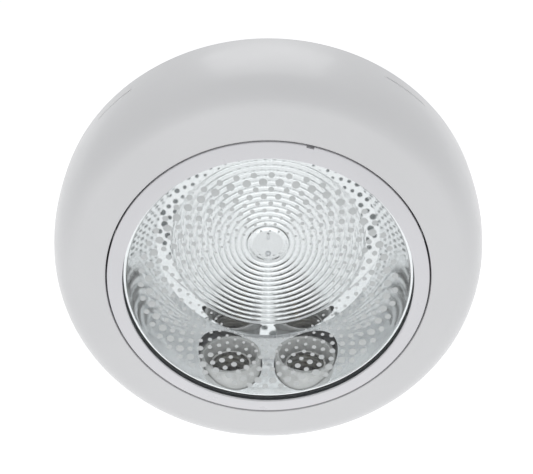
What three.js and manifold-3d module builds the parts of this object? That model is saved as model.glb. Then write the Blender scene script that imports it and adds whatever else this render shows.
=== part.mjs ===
// Round surface-mounted luminaire with two lampholders behind a printed glass.
//
// Every piece is built in one working frame and the whole light is turned upright at the end:
//   x runs across the light, y runs up the wall, z stands out from the wall.
// In the finished part +Z is up, the light faces -Y and its back plate lies on the plane Y = 0.

import * as THREE from 'three';
import { mergeVertices } from 'three/addons/utils/BufferGeometryUtils.js';
import Module from 'manifold-3d';

const wasm = await Module();
wasm.setup();

// ---------------------------------------------------------------- driving dimensions, mm

const CLEARANCE = 0.3; // between pieces that touch
const ROUND_STEPS = 56; // facets round the large turned pieces
const FACET_SHARE = Math.cos(Math.PI / ROUND_STEPS); // of the radius, at the middle of a facet

// Housing: a spun shell, widest where it meets the wall, with a collar turned in at its opening.
const HOUSING_RADIUS = 157.5;
const SHOULDER_WIDTH = 24.2; // the rounded side, seen from the front
const FRONT_BAND = 19; // the flat front, between the rounded side and the opening
const FRONT_FALL = 2; // how far the front falls from the opening to the shoulder
const STRAIGHT_HEIGHT = 5.3; // height of the straight band beside the wall
const SHOULDER_POWER = 2.34; // 2 would be an ellipse, more is squarer
const SHOULDER_STEPS = 7;
const HOUSING_WALL = 1.5;
const HOUSING_OFF_WALL = 0.5;
const OPENING_ROUND = 0.6;
const COLLAR_DEPTH = 10;

// Release slots in the side of the housing, and the latches that sit behind them.
const SLOT_LENGTH = 33;
const SLOT_WIDTH = 1.2;
const SLOT_HEIGHT = 15.5; // above the wall
const SLOT_LEFT_CLOCK = -42.5; // degrees clockwise from the top
const SLOT_RIGHT_CLOCK = 36.8;
const LATCH_WIDTH = 26;
const LATCH_THICKNESS = 1.6;
const LATCH_NOSE_THICKNESS = 0.8;
const LATCH_BARREL_RADIUS = 2.8;
const LATCH_PIN_RADIUS = 1.2;
const LATCH_PIN_INSET = 12.4; // from the edge of the back plate to the pin
const LATCH_PIN_HEIGHT = 6.5;
const LATCH_EAR_THICKNESS = 1.4;
const LATCH_SPRING_GAP = 1.1; // room for the latch to tip before it meets its rigid spring
const LATCH_SPRING_FOOT = 16; // from the place where it touches to the end of its foot
const LATCH_SPRING_BEND = 6;
const LATCH_SPRING_LEAN = 3;
const LATCH_PIN_END = 1; // how far the pin stands out of its ears

// Back plate.
const PLATE_THICKNESS = 1.2;
const PLATE_RIM_HEIGHT = 9;
const PLATE_FIT = 0.6; // between the rim and the inside of the housing
const KEYHOLE_INSET = 30.4; // from the edge of the back plate
const KEYHOLE_HEAD_RADIUS = 4.6;
const KEYHOLE_NECK_WIDTH = 4.6;
const KEYHOLE_NECK_LENGTH = 11;
const CABLE_ENTRY_X = -60;
const CABLE_ENTRY_INSET = 51.4; // down from the top of the back plate
const CABLE_ENTRY_RADIUS = 8;
const GROMMET_FLANGE_RADIUS = 10.5;
const GROMMET_BORE_RADIUS = 4.5;
const GROMMET_FLANGE_HEIGHT = 2;
const GROMMET_BEVEL = 1;

// Trim ring: a shallow cone with a skirt that slides into the collar.
const TRIM_GAP = 1.2; // the dark line between the ring and the housing
const TRIM_RISE = 2.5; // how far the inner edge stands proud of the outer one
const TRIM_EDGE_ROUND = 0.7;
const TRIM_SKIRT_WALL = 1.6;
const TRIM_BODY_DEPTH = 1.4; // solid depth of the ring behind the front plane
const GLASS_SEAT_HEIGHT = 0.6; // seat in front of the front plane
const NOTCH_CLOCK = 14;
const NOTCH_WIDTH = 5.2;
const NOTCH_DEPTH = 2;
const NOTCH_HEIGHT = 2.4;

// Glass, its gasket and the clips that hold it.
const GLASS_BEARING = 2.6; // how far the glass reaches under the ring
const GLASS_THICKNESS = 3;
const GASKET_INSET = 0.4; // from the inner edge of the ring to the gasket's lips
const GASKET_LIP = 0.4;
const GASKET_BACK_LIP = 0.5;
const GASKET_WEB = 0.8;
const GASKET_SLIP = 0.12; // the rubber's clearance to glass and ring
const CLIP_COUNT = 3;
const CLIP_START = 90; // degrees anticlockwise from the right
const CLIP_WIDTH = 9;
const CLIP_THICKNESS = 0.8;
const CLIP_REACH = 1.4; // over the edge of the glass
const CLIP_BOSS_WIDTH = 8;
const CLIP_SCREW_REACH = 2.6; // into the boss
const CLIP_SCREW_GAP = 0.64; // on each side of a clip screw's head, inside the ring
const SPRING_COUNT = 4;
const SPRING_START = 45;
const SPRING_WIDTH = 8;
const SPRING_THICKNESS = 0.5;
const SPRING_LENGTH = 17;

// Reflector: a cone open to the front, closed at the back by a ribbed disc.
const RIM_FLANGE_WIDTH = 2;
const RIM_TO_GLASS = 0.21;
const CONE_TAPER = 16.8; // how much the cone narrows from its rim to its back
const CONE_BACK_HEIGHT = 15; // above the wall
const REFLECTOR_WALL = 0.8;
const PLAIN_BAND = 11.4; // smooth edge of the disc, outside the ribs
const RIBBED_STEP = 1;
const DISC_OVERLAP = 1.2; // how far the disc reaches under the end of the cone
const FIXING_OFFSET = 7.5; // screw below the centre, locating tab above it
const LOCATING_TAB_WIDTH = 5;
const LOCATING_TAB_THICKNESS = 1.2;
const LOCATING_TAB_STAND = 1.2; // above the disc
const HAT_TOP_WIDTH = 48;
const HAT_FOOT = 11;
const HAT_DEPTH = 30;
const SHEET = 1; // thickness of the pressed steel brackets

// Lampholders, size E27, side by side with their mouths facing up.
const HOLDER_SKIRT_RADIUS = 23.2;
const HOLDER_SKIRT_WALL = 3;
const LAMP_HOLE_GAP = 1.1; // between a skirt and the edge of its hole in the cone
const LAMP_BRIDGE = 9; // metal left between the two holes
const HOLE_TO_DISC = 2.1; // metal left between the holes and the back of the cone
const HOLE_TO_RIM = 1.05;
const HOLDER_TO_RING = 1.858; // between the rear corner of a skirt and the trim ring's skirt
const HOLDER_SKIRT_LENGTH = 20;
const HOLDER_SKIRT_FLOOR = 2.5;
const CORE_WALL = 1.3;
const CORE_RECESS = 9;
const CORE_LENGTH = 25;
const CORE_FLOOR = 5;
const THREAD_RADIUS = 13.3; // crest of the E27 thread
const THREAD_DEPTH = 0.5;
const THREAD_PITCH = 3.63;
const THREAD_TURNS = 3;
const THREAD_WALL = 0.25;
const THREAD_FIT = 0.25; // between the thread's sleeve and the core
const THREAD_LENGTH_FROM_MOUTH = 12;
const CAP_FIT = 0.5; // between the core and the inside of the cap
const CAP_WALL = 1.3;
const CAP_LENGTH = 27;
const CAP_ROUND = 6;
const CONTACT_RADIUS = 3.4;
const CONTACT_STAND = 2.6;
const CONTACT_SHANK_RADIUS = 1.4;
const CONTACT_HEAD = 1.2;
const CONTACT_TAIL = 1; // how far the shank stands out behind the core
const HOLDER_BRACKET_SHEET = 1.2;
const HOLDER_BRACKET_MARGIN = 27.2; // from a lamp's axis to the end of the bracket
const HOLDER_BRACKET_TO_RING = 3;
const HOLDER_BRACKET_FOOT = 16;
const HOLDER_BRACKET_SCREW_INSET = 10;

// Wiring.
const BLOCK_X = 8;
const BLOCK_INSET = 39.4; // down from the top of the back plate, as the three below
const BLOCK_DEPTH = 17;
const BLOCK_HEIGHT = 14;
const POLE_SPACING = 11.5;
const POLE_HEIGHT = 7.5; // wire hole above the back plate
const WIRE_HOLE_RADIUS = 2.7;
const BLOCK_END_WALL = 1.5;
const GRUB_LENGTH = 1;
const GRUB_STAND = 1.2;
const SLEEVE_INSET = 1.5; // each end of a sleeve, inside the block
const SLEEVE_BORE = 1.5;
const LEAD_RADIUS = 1;
const LEAD_PAIR_OFFSET = 1.15;
const LEAD_SPACING = 4; // between the two leads of one lampholder
const LEAD_HEIGHT = 4; // above the back plate, where the leads run behind the reflector
const LEAD_ASIDE = 8; // outside the lampholders' bracket
const LEAD_STRAIGHT_TOP = 36; // the leads run straight down between these two heights
const LEAD_STRAIGHT_BOTTOM = -40;
const EARTH_STUD_X = 48;
const EARTH_STUD_INSET = 43.4;
const EARTH_STUD_RADIUS = 2;
const EARTH_STUD_HEIGHT = 12;
const EARTH_TAG_THICKNESS = 0.8;
const EARTH_EYE_RADIUS = 4.2;
const EARTH_BARREL_WIDTH = 3;
const EARTH_BARREL_END = 12; // from the stud to the end of the tag
const EARTH_NUT_RADIUS = 4;
const EARTH_NUT_HEIGHT = 3.2;
const CLAMP_X = -30;
const CLAMP_INSET = 27.4;
const CLAMP_LENGTH = 28;
const CLAMP_DEPTH = 8;
const CLAMP_ARCH_RADIUS = 4.8;
const CLAMP_BAR = 2.4;
const CLAMP_SCREW_SPACING = 20;

// Screws.
const SCREW_SHANK_RADIUS = 1.3;
const SCREW_HEAD_RADIUS = 2.1;
const SCREW_HEAD_HEIGHT = 1.3;
const SCREW_FACETS = 8;
const SCREW_SLOT_WIDTH = 0.5;

// ---------------------------------------------------------------- sizes that follow

// Across the light, from the wall of the housing inwards.
const PLATE_RADIUS = HOUSING_RADIUS - HOUSING_WALL - PLATE_FIT;
const SHOULDER_RADIUS = HOUSING_RADIUS - SHOULDER_WIDTH;
const OPENING_RADIUS = SHOULDER_RADIUS - FRONT_BAND;
const TRIM_RADIUS = OPENING_RADIUS - TRIM_GAP;
const TRIM_SKIRT_INNER = TRIM_RADIUS - TRIM_SKIRT_WALL;
const CLIP_SCREW_R = TRIM_SKIRT_INNER - CLIP_SCREW_GAP - SCREW_HEAD_RADIUS;
const SEAT_RADIUS = CLIP_SCREW_R - SCREW_HEAD_RADIUS - CLIP_SCREW_GAP;
const GASKET_RADIUS = SEAT_RADIUS - CLEARANCE;
const GLASS_RADIUS = GASKET_RADIUS - GASKET_WEB - GASKET_SLIP;
const CLIP_INNER_RADIUS = GLASS_RADIUS - CLIP_REACH;
const TRIM_INNER_RADIUS = GLASS_RADIUS - GLASS_BEARING;
const GASKET_INNER_RADIUS = TRIM_INNER_RADIUS + GASKET_INSET;
const RIM_RADIUS = TRIM_INNER_RADIUS - RIM_FLANGE_WIDTH; // inside of the cone at its rim
const CONE_BACK_RADIUS = RIM_RADIUS - CONE_TAPER;
const DISC_RADIUS = CONE_BACK_RADIUS + DISC_OVERLAP;
const RIBBED_RADIUS = CONE_BACK_RADIUS - PLAIN_BAND;
const LATCH_PIN_R = PLATE_RADIUS - LATCH_PIN_INSET;
const KEYHOLE_OFFSET = PLATE_RADIUS - KEYHOLE_INSET;

// Out from the wall. The light is as deep as its lampholders need.
const PLATE_TOP = PLATE_THICKNESS + CLEARANCE; // where pieces seated on the plate begin
const LAMP_HOLE_RADIUS = HOLDER_SKIRT_RADIUS + LAMP_HOLE_GAP;
const LAMP_HEIGHT = CONE_BACK_HEIGHT + HOLE_TO_DISC + LAMP_HOLE_RADIUS; // lamp axis
const RIM_FRONT = LAMP_HEIGHT + LAMP_HOLE_RADIUS + HOLE_TO_RIM;
const GLASS_BACK = RIM_FRONT + RIM_TO_GLASS;
const GLASS_FRONT = GLASS_BACK + GLASS_THICKNESS;
const SEAT_Z = GLASS_FRONT + GASKET_LIP + 2 * GASKET_SLIP;
const FRONT_HEIGHT = SEAT_Z - GLASS_SEAT_HEIGHT; // edge of the opening
const SKIRT_BACK = FRONT_HEIGHT - COLLAR_DEPTH;
const GASKET_BACK = GLASS_BACK - GASKET_SLIP - GASKET_BACK_LIP;
const CLIP_FRONT = GASKET_BACK - CLEARANCE;
const DISC_FRONT = CONE_BACK_HEIGHT - CLEARANCE;
const RIBBED_FRONT = DISC_FRONT - RIBBED_STEP;
const HAT_TOP = RIBBED_FRONT - REFLECTOR_WALL - CLEARANCE;

// Lampholders. The rear edge of a skirt passes behind the trim ring's skirt, so the outer
// corner that it makes there sets how far down the holders stand.
const LAMP_OFFSET = LAMP_HOLE_RADIUS + LAMP_BRIDGE / 2;
const HOLDER_SKIRT_BORE = HOLDER_SKIRT_RADIUS - HOLDER_SKIRT_WALL;
const HOLDER_OVER = SKIRT_BACK - LAMP_HEIGHT;
const HOLDER_CHORD = Math.sqrt(Math.max(0, HOLDER_SKIRT_RADIUS ** 2 - HOLDER_OVER ** 2));
const HOLDER_CORNER_X = LAMP_OFFSET + HOLDER_CHORD;
const HOLDER_CORNER_R = TRIM_SKIRT_INNER - HOLDER_TO_RING;
const HOLDER_BACK_Y = -Math.sqrt(HOLDER_CORNER_R ** 2 - HOLDER_CORNER_X ** 2);
const MOUTH_Y = HOLDER_BACK_Y + HOLDER_SKIRT_LENGTH;
const CORE_BORE = THREAD_RADIUS + THREAD_DEPTH + THREAD_WALL + THREAD_FIT;
const CORE_RADIUS = CORE_BORE + CORE_WALL;
const CAP_RADIUS = CORE_RADIUS + CAP_FIT + CAP_WALL;
const HOLDER_BRACKET_Y = HOLDER_BACK_Y - CLEARANCE;
const HOLDER_BRACKET_HALF_WIDTH = LAMP_OFFSET + HOLDER_BRACKET_MARGIN;
const HOLDER_BRACKET_HEIGHT = SKIRT_BACK - HOLDER_BRACKET_TO_RING;
const HOLDER_BRACKET_SCREW_X = HOLDER_BRACKET_HALF_WIDTH - HOLDER_BRACKET_SCREW_INSET;
const CAP_START_Y = HOLDER_BRACKET_Y - HOLDER_BRACKET_SHEET - CLEARANCE;

// Wiring on the upper part of the back plate.
const BLOCK_Y = PLATE_RADIUS - BLOCK_INSET;
const BLOCK_WIDTH = 3 * POLE_SPACING + 2 * BLOCK_END_WALL;
const POLE_Z = PLATE_TOP + POLE_HEIGHT;
const EARTH_STUD_Y = PLATE_RADIUS - EARTH_STUD_INSET;
const CLAMP_Y = PLATE_RADIUS - CLAMP_INSET;
const CABLE_ENTRY_Y = PLATE_RADIUS - CABLE_ENTRY_INSET;

// ---------------------------------------------------------------- finishes

const white = { color: 0xf2f2f4, roughness: 0.35, metalness: 0 };
const aluminium = { color: 0xd5d9dc, roughness: 0.22, metalness: 1 };
const steel = { color: 0xb9bcc0, roughness: 0.4, metalness: 1 };
const brass = { color: 0xc9a24a, roughness: 0.35, metalness: 1 };
const nickel = { color: 0xd8d6cf, roughness: 0.25, metalness: 1 };
const porcelain = { color: 0xeeeae2, roughness: 0.3, metalness: 0 };
const holderPlastic = { color: 0xe4e4e2, roughness: 0.45, metalness: 0 };
const darkRubber = { color: 0x3a3b3d, roughness: 0.8, metalness: 0 };
const clearPlastic = { color: 0xe9e9e4, roughness: 0.4, metalness: 0 };
const glassFinish = { color: 0xeef4f4, roughness: 0.05, metalness: 0 };
const brownLead = { color: 0x6b4a2f, roughness: 0.6, metalness: 0 };
const blueLead = { color: 0x3d6ea8, roughness: 0.6, metalness: 0 };
const greenLead = { color: 0x5f9a3c, roughness: 0.6, metalness: 0 };

// ---------------------------------------------------------------- solids

function toManifold(geometry) {
  const bare = geometry.clone();
  bare.deleteAttribute('normal');
  bare.deleteAttribute('uv');
  const merged = mergeVertices(bare);
  const corner = merged.index.array;
  const triVerts = [];
  for (let i = 0; i < corner.length; i += 3) {
    const [a, b, c] = corner.slice(i, i + 3);
    if (a !== b && b !== c && c !== a) triVerts.push(a, b, c);
  }
  return new wasm.Manifold(new wasm.Mesh({
    numProp: 3,
    vertProperties: new Float32Array(merged.attributes.position.array),
    triVerts: new Uint32Array(triVerts),
  }));
}

function toGeometry(manifold) {
  const mesh = manifold.getMesh();
  const geometry = new THREE.BufferGeometry();
  geometry.setAttribute('position', new THREE.BufferAttribute(mesh.vertProperties, mesh.numProp));
  geometry.setIndex(new THREE.BufferAttribute(mesh.triVerts, 1));
  return geometry;
}

// A piece made of a first solid with others joined to it and holes cut through it.
function shaped(base, { join = [], cut = [] }) {
  let solid = toManifold(base);
  for (const extra of join) solid = solid.add(toManifold(extra));
  for (const hole of cut) solid = solid.subtract(toManifold(hole));
  return toGeometry(solid);
}

function piece(name, finish, geometry) {
  if (!geometry.attributes.normal) geometry.computeVertexNormals();
  const mesh = new THREE.Mesh(geometry, new THREE.MeshStandardMaterial(finish));
  mesh.name = name;
  return mesh;
}

// Turned solid about y from (radius, height) pairs; the profile may start and end on the axis.
function turned(profile, steps) {
  const points = profile.map(([radius, height]) => new THREE.Vector2(radius, height));
  if (THREE.ShapeUtils.isClockWise(points)) points.reverse();
  const onAxis = points[0].x === 0 && points[points.length - 1].x === 0;
  if (!onAxis) points.push(points[0].clone());
  return new THREE.LatheGeometry(points, steps);
}

// The same about z, for the pieces that share the axis of the light.
function turnedOut(profile, steps = ROUND_STEPS) {
  return turned(profile, steps).rotateX(Math.PI / 2);
}

function rod(radius, from, to, facets = SCREW_FACETS) {
  const bar = new THREE.CylinderGeometry(radius, radius, to - from, facets);
  return bar.rotateX(Math.PI / 2).translate(0, 0, (from + to) / 2);
}

function block(width, height, depth, x = 0, y = 0, z = 0) {
  return new THREE.BoxGeometry(width, height, depth).translate(x, y, z);
}

// An outline of (across, out) pairs carried along the third direction, centred on it.
function strip(outline, width) {
  const shape = new THREE.Shape(outline.map(([across, out]) => new THREE.Vector2(across, out)));
  const solid = new THREE.ExtrudeGeometry(shape, { depth: width, bevelEnabled: false });
  return solid.translate(0, 0, -width / 2).rotateX(Math.PI / 2);
}

// Angle about z, anticlockwise from x, of a place given in degrees clockwise from the top.
function clock(degrees) {
  return THREE.MathUtils.degToRad(90 - degrees);
}

function ringPlaces(count, startDegrees) {
  const places = [];
  for (let i = 0; i < count; i += 1) {
    places.push(THREE.MathUtils.degToRad(startDegrees + (360 * i) / count));
  }
  return places;
}

// ---------------------------------------------------------------- housing

// Half outline of the shoulder: a superellipse from the front to the straight band.
function shoulder(inset) {
  const across = HOUSING_RADIUS - inset - SHOULDER_RADIUS;
  const out = FRONT_HEIGHT - FRONT_FALL - inset - STRAIGHT_HEIGHT;
  const points = [];
  for (let i = 0; i <= SHOULDER_STEPS; i += 1) {
    const turn = (i / SHOULDER_STEPS) * (Math.PI / 2);
    points.push([
      SHOULDER_RADIUS + across * Math.sin(turn) ** (2 / SHOULDER_POWER),
      STRAIGHT_HEIGHT + out * Math.cos(turn) ** (2 / SHOULDER_POWER),
    ]);
  }
  return points;
}

function housingInnerRadius(height) {
  const across = HOUSING_RADIUS - HOUSING_WALL - SHOULDER_RADIUS;
  const out = FRONT_HEIGHT - FRONT_FALL - HOUSING_WALL - STRAIGHT_HEIGHT;
  const share = Math.max(0, (height - STRAIGHT_HEIGHT) / out) ** SHOULDER_POWER;
  return SHOULDER_RADIUS + across * (1 - share) ** (1 / SHOULDER_POWER);
}

function slotTool(degrees) {
  const tool = block(HOUSING_WALL * 6, SLOT_LENGTH, SLOT_WIDTH, 0, 0, SLOT_HEIGHT);
  return tool.translate(housingInnerRadius(SLOT_HEIGHT), 0, 0).rotateZ(clock(degrees));
}

function housingShell() {
  const collarOuter = OPENING_RADIUS + HOUSING_WALL;
  const profile = [
    [HOUSING_RADIUS - HOUSING_WALL, HOUSING_OFF_WALL],
    [HOUSING_RADIUS, HOUSING_OFF_WALL],
    ...shoulder(0).reverse(),
    [OPENING_RADIUS + OPENING_ROUND, FRONT_HEIGHT],
    [OPENING_RADIUS, FRONT_HEIGHT - OPENING_ROUND],
    [OPENING_RADIUS, SKIRT_BACK],
    [collarOuter, SKIRT_BACK],
    [collarOuter, FRONT_HEIGHT - HOUSING_WALL],
    ...shoulder(HOUSING_WALL),
  ];
  const shell = shaped(turnedOut(profile), {
    cut: [slotTool(SLOT_LEFT_CLOCK), slotTool(SLOT_RIGHT_CLOCK)],
  });
  return piece('housing_shell', white, shell);
}

// ---------------------------------------------------------------- back plate and latches

function keyholeTools(x) {
  const through = 4 * PLATE_THICKNESS;
  const head = rod(KEYHOLE_HEAD_RADIUS, -through, through, 16).translate(x, 0, 0);
  const neck = block(KEYHOLE_NECK_WIDTH, KEYHOLE_NECK_LENGTH, 2 * through, x, KEYHOLE_NECK_LENGTH / 2, 0);
  return [head, neck];
}

// Pair of upturned ears that carry one latch pin, in the latch's own place.
function latchEars(degrees) {
  const half = LATCH_WIDTH / 2 + CLEARANCE + LATCH_EAR_THICKNESS / 2;
  const height = LATCH_PIN_HEIGHT + LATCH_BARREL_RADIUS;
  const ears = [];
  for (const side of [-1, 1]) {
    const ear = block(2 * LATCH_BARREL_RADIUS, LATCH_EAR_THICKNESS, height, 0, side * half, height / 2);
    const hole = rod(LATCH_PIN_RADIUS + CLEARANCE, -LATCH_WIDTH, LATCH_WIDTH);
    hole.rotateX(Math.PI / 2).translate(0, 0, LATCH_PIN_HEIGHT);
    ears.push(shaped(ear, { cut: [hole] }).translate(LATCH_PIN_R, 0, 0).rotateZ(clock(degrees)));
  }
  return ears;
}

function backPlate() {
  const disc = turnedOut([
    [0, 0],
    [PLATE_RADIUS, 0],
    [PLATE_RADIUS, PLATE_RIM_HEIGHT],
    [PLATE_RADIUS - PLATE_THICKNESS, PLATE_RIM_HEIGHT],
    [PLATE_RADIUS - PLATE_THICKNESS, PLATE_THICKNESS],
    [0, PLATE_THICKNESS],
  ]);
  const entry = rod(CABLE_ENTRY_RADIUS, -PLATE_TOP, 2 * PLATE_TOP, 24);
  const plate = shaped(disc, {
    join: [...latchEars(SLOT_LEFT_CLOCK), ...latchEars(SLOT_RIGHT_CLOCK)],
    cut: [
      entry.translate(CABLE_ENTRY_X, CABLE_ENTRY_Y, 0),
      ...keyholeTools(KEYHOLE_OFFSET),
      ...keyholeTools(-KEYHOLE_OFFSET),
    ],
  });
  return piece('back_plate', steel, plate);
}

function cableGrommet() {
  const neck = CABLE_ENTRY_RADIUS - CLEARANCE;
  const ring = turnedOut([
    [GROMMET_BORE_RADIUS, CLEARANCE],
    [neck, CLEARANCE],
    [neck, PLATE_TOP],
    [GROMMET_FLANGE_RADIUS, PLATE_TOP],
    [GROMMET_FLANGE_RADIUS - GROMMET_BEVEL, PLATE_TOP + GROMMET_FLANGE_HEIGHT],
    [GROMMET_BORE_RADIUS, PLATE_TOP + GROMMET_FLANGE_HEIGHT],
  ], 20);
  return piece('cable_grommet', darkRubber, ring.translate(CABLE_ENTRY_X, CABLE_ENTRY_Y, 0));
}

// Latch lever: a barrel on the pin, an arm and a nose that points at the slot. The corners of the
// nose stay inside the wall, so that the housing slides off past them.
function latchLever(name) {
  const half = LATCH_THICKNESS / 2;
  const noseMiddle = SLOT_HEIGHT - LATCH_PIN_HEIGHT;
  const noseTop = noseMiddle + LATCH_NOSE_THICKNESS / 2;
  const noseUnder = noseMiddle - LATCH_NOSE_THICKNESS / 2;
  const wall = housingInnerRadius(SLOT_HEIGHT + LATCH_NOSE_THICKNESS) * FACET_SHARE - CLEARANCE;
  const tip = Math.sqrt(wall ** 2 - (LATCH_WIDTH / 2) ** 2) - LATCH_PIN_R;
  const start = Math.acos(half / LATCH_BARREL_RADIUS);
  const outline = new THREE.Shape();
  outline.absarc(0, 0, LATCH_BARREL_RADIUS, start, Math.PI - start, true);
  outline.lineTo(-half, noseTop);
  outline.lineTo(tip, noseTop);
  outline.lineTo(tip, noseUnder);
  outline.lineTo(half, noseUnder);
  outline.closePath();
  const bore = new THREE.Path();
  bore.absarc(0, 0, LATCH_PIN_RADIUS + CLEARANCE, 0, 2 * Math.PI, false);
  outline.holes.push(bore);
  const lever = new THREE.ExtrudeGeometry(outline, {
    depth: LATCH_WIDTH,
    bevelEnabled: false,
    curveSegments: 8,
  });
  lever.translate(0, 0, -LATCH_WIDTH / 2).rotateX(Math.PI / 2);
  return piece(name, steel, lever);
}

function latchPin(name) {
  const reach = LATCH_WIDTH / 2 + CLEARANCE + LATCH_EAR_THICKNESS + LATCH_PIN_END;
  return piece(name, steel, rod(LATCH_PIN_RADIUS, -reach, reach).rotateX(Math.PI / 2));
}

// Bent leaf behind the lever, standing on the plate and reaching for the arm.
function latchSpring(name) {
  const touch = -LATCH_THICKNESS / 2 - LATCH_SPRING_GAP;
  const base = PLATE_TOP - LATCH_PIN_HEIGHT;
  const tip = LATCH_PIN_HEIGHT - LATCH_PIN_END;
  const leaf = SPRING_THICKNESS;
  const outline = [
    [touch - LATCH_SPRING_FOOT, base],
    [touch - LATCH_SPRING_BEND, base],
    [touch - LATCH_SPRING_LEAN, base + leaf],
    [touch, tip],
    [touch - leaf, tip],
    [touch - LATCH_SPRING_LEAN - leaf, base + 2 * leaf],
    [touch - LATCH_SPRING_BEND, base + leaf],
    [touch - LATCH_SPRING_FOOT, base + leaf],
  ];
  return piece(name, steel, strip(outline, SPRING_WIDTH));
}

// Puts the pieces of one latch at its pin, turned to face outwards.
function atLatch(degrees, pieces) {
  const group = new THREE.Group();
  group.rotation.z = clock(degrees);
  for (const part of pieces) {
    part.position.set(LATCH_PIN_R, 0, LATCH_PIN_HEIGHT);
    group.add(part);
  }
  return group;
}

// ---------------------------------------------------------------- trim ring and glass

function trimFaceHeight(radius) {
  const slope = TRIM_RISE / (TRIM_RADIUS - TRIM_INNER_RADIUS);
  return FRONT_HEIGHT + slope * (TRIM_RADIUS - radius);
}

function trimRing() {
  const bodyBack = FRONT_HEIGHT - TRIM_BODY_DEPTH;
  const crown = TRIM_INNER_RADIUS + TRIM_EDGE_ROUND;
  const edge = TRIM_RADIUS - TRIM_EDGE_ROUND;
  const ring = turnedOut([
    [TRIM_SKIRT_INNER, SKIRT_BACK],
    [TRIM_RADIUS, SKIRT_BACK],
    [TRIM_RADIUS, FRONT_HEIGHT - TRIM_EDGE_ROUND],
    [edge, trimFaceHeight(edge)],
    [crown, trimFaceHeight(crown)],
    [TRIM_INNER_RADIUS, trimFaceHeight(crown) - TRIM_EDGE_ROUND],
    [TRIM_INNER_RADIUS, SEAT_Z],
    [SEAT_RADIUS, SEAT_Z],
    [SEAT_RADIUS, bodyBack],
    [TRIM_SKIRT_INNER, bodyBack],
  ]);
  const bossBack = CLIP_FRONT + CLEARANCE;
  const bossDeep = TRIM_SKIRT_INNER + TRIM_SKIRT_WALL / 2 - SEAT_RADIUS;
  const bosses = [];
  const holes = [];
  for (const turn of ringPlaces(CLIP_COUNT, CLIP_START)) {
    const boss = block(bossDeep, CLIP_BOSS_WIDTH, FRONT_HEIGHT - TRIM_BODY_DEPTH / 2 - bossBack);
    boss.translate(SEAT_RADIUS + bossDeep / 2, 0, (FRONT_HEIGHT - TRIM_BODY_DEPTH / 2 + bossBack) / 2);
    bosses.push(boss.rotateZ(turn));
    const hole = rod(SCREW_SHANK_RADIUS + CLEARANCE, bossBack - 1, FRONT_HEIGHT - CLEARANCE);
    holes.push(hole.translate(CLIP_SCREW_R, 0, 0).rotateZ(turn));
  }
  const notch = block(2 * NOTCH_DEPTH, NOTCH_WIDTH, 2 * NOTCH_HEIGHT, TRIM_RADIUS, 0, FRONT_HEIGHT);
  return piece('trim_ring', white, shaped(ring, {
    join: bosses,
    cut: [...holes, notch.rotateZ(clock(NOTCH_CLOCK))],
  }));
}

function glassDisc() {
  const disc = turnedOut([
    [0, GLASS_BACK],
    [GLASS_RADIUS, GLASS_BACK],
    [GLASS_RADIUS, GLASS_FRONT],
    [0, GLASS_FRONT],
  ]);
  return piece('glass_disc', glassFinish, disc);
}

// Channel gasket round the edge of the glass.
function glassGasket() {
  const inside = GLASS_RADIUS + GASKET_SLIP;
  const front = GLASS_FRONT + GASKET_SLIP;
  const channel = turnedOut([
    [GASKET_INNER_RADIUS, GASKET_BACK],
    [GASKET_RADIUS, GASKET_BACK],
    [GASKET_RADIUS, front + GASKET_LIP],
    [GASKET_INNER_RADIUS, front + GASKET_LIP],
    [GASKET_INNER_RADIUS, front],
    [inside, front],
    [inside, GLASS_BACK - GASKET_SLIP],
    [GASKET_INNER_RADIUS, GLASS_BACK - GASKET_SLIP],
  ]);
  return piece('glass_gasket', darkRubber, channel);
}

function glassClip(name) {
  const length = TRIM_SKIRT_INNER - 2 * CLEARANCE - CLIP_INNER_RADIUS;
  const middle = CLIP_INNER_RADIUS + length / 2;
  const plate = block(length, CLIP_WIDTH, CLIP_THICKNESS, middle, 0, CLIP_FRONT - CLIP_THICKNESS / 2);
  const hole = rod(SCREW_SHANK_RADIUS + CLEARANCE, CLIP_FRONT - 5, CLIP_FRONT + 5);
  return piece(name, steel, shaped(plate, { cut: [hole.translate(CLIP_SCREW_R, 0, 0)] }));
}

// Leaf spring inside the skirt, bulging outwards behind the collar.
function trimSpring(name) {
  const flat = TRIM_SKIRT_INNER - CLEARANCE;
  const bulge = OPENING_RADIUS - CLEARANCE;
  const top = FRONT_HEIGHT - TRIM_BODY_DEPTH - CLEARANCE;
  const knee = SKIRT_BACK - CLEARANCE;
  const end = top - SPRING_LENGTH;
  const peak = (knee + end) / 2;
  const leaf = SPRING_THICKNESS;
  const outline = [
    [flat - leaf, top],
    [flat, top],
    [flat, knee],
    [bulge, peak],
    [flat, end],
    [flat - leaf, end],
    [bulge - 1.4 * leaf, peak],
    [flat - leaf, knee],
  ];
  return piece(name, steel, strip(outline, SPRING_WIDTH));
}

// ---------------------------------------------------------------- reflector

function coneRadius(height) {
  const share = (height - CONE_BACK_HEIGHT) / (RIM_FRONT - CONE_BACK_HEIGHT);
  return CONE_BACK_RADIUS + share * (RIM_RADIUS - CONE_BACK_RADIUS);
}

function reflectorCone() {
  const rimBack = RIM_FRONT - REFLECTOR_WALL;
  const cone = turnedOut([
    [CONE_BACK_RADIUS, CONE_BACK_HEIGHT],
    [CONE_BACK_RADIUS + REFLECTOR_WALL, CONE_BACK_HEIGHT],
    [coneRadius(rimBack) + REFLECTOR_WALL, rimBack],
    [RIM_RADIUS + RIM_FLANGE_WIDTH, rimBack],
    [RIM_RADIUS + RIM_FLANGE_WIDTH, RIM_FRONT],
    [RIM_RADIUS, RIM_FRONT],
  ]);
  const holes = [];
  for (const side of [-1, 1]) {
    const hole = rod(LAMP_HOLE_RADIUS, 0, RIM_RADIUS + RIM_FLANGE_WIDTH, 40).rotateX(Math.PI / 2);
    holes.push(hole.translate(side * LAMP_OFFSET, 0, LAMP_HEIGHT));
  }
  return piece('reflector_cone', aluminium, shaped(cone, { cut: holes }));
}

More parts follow.
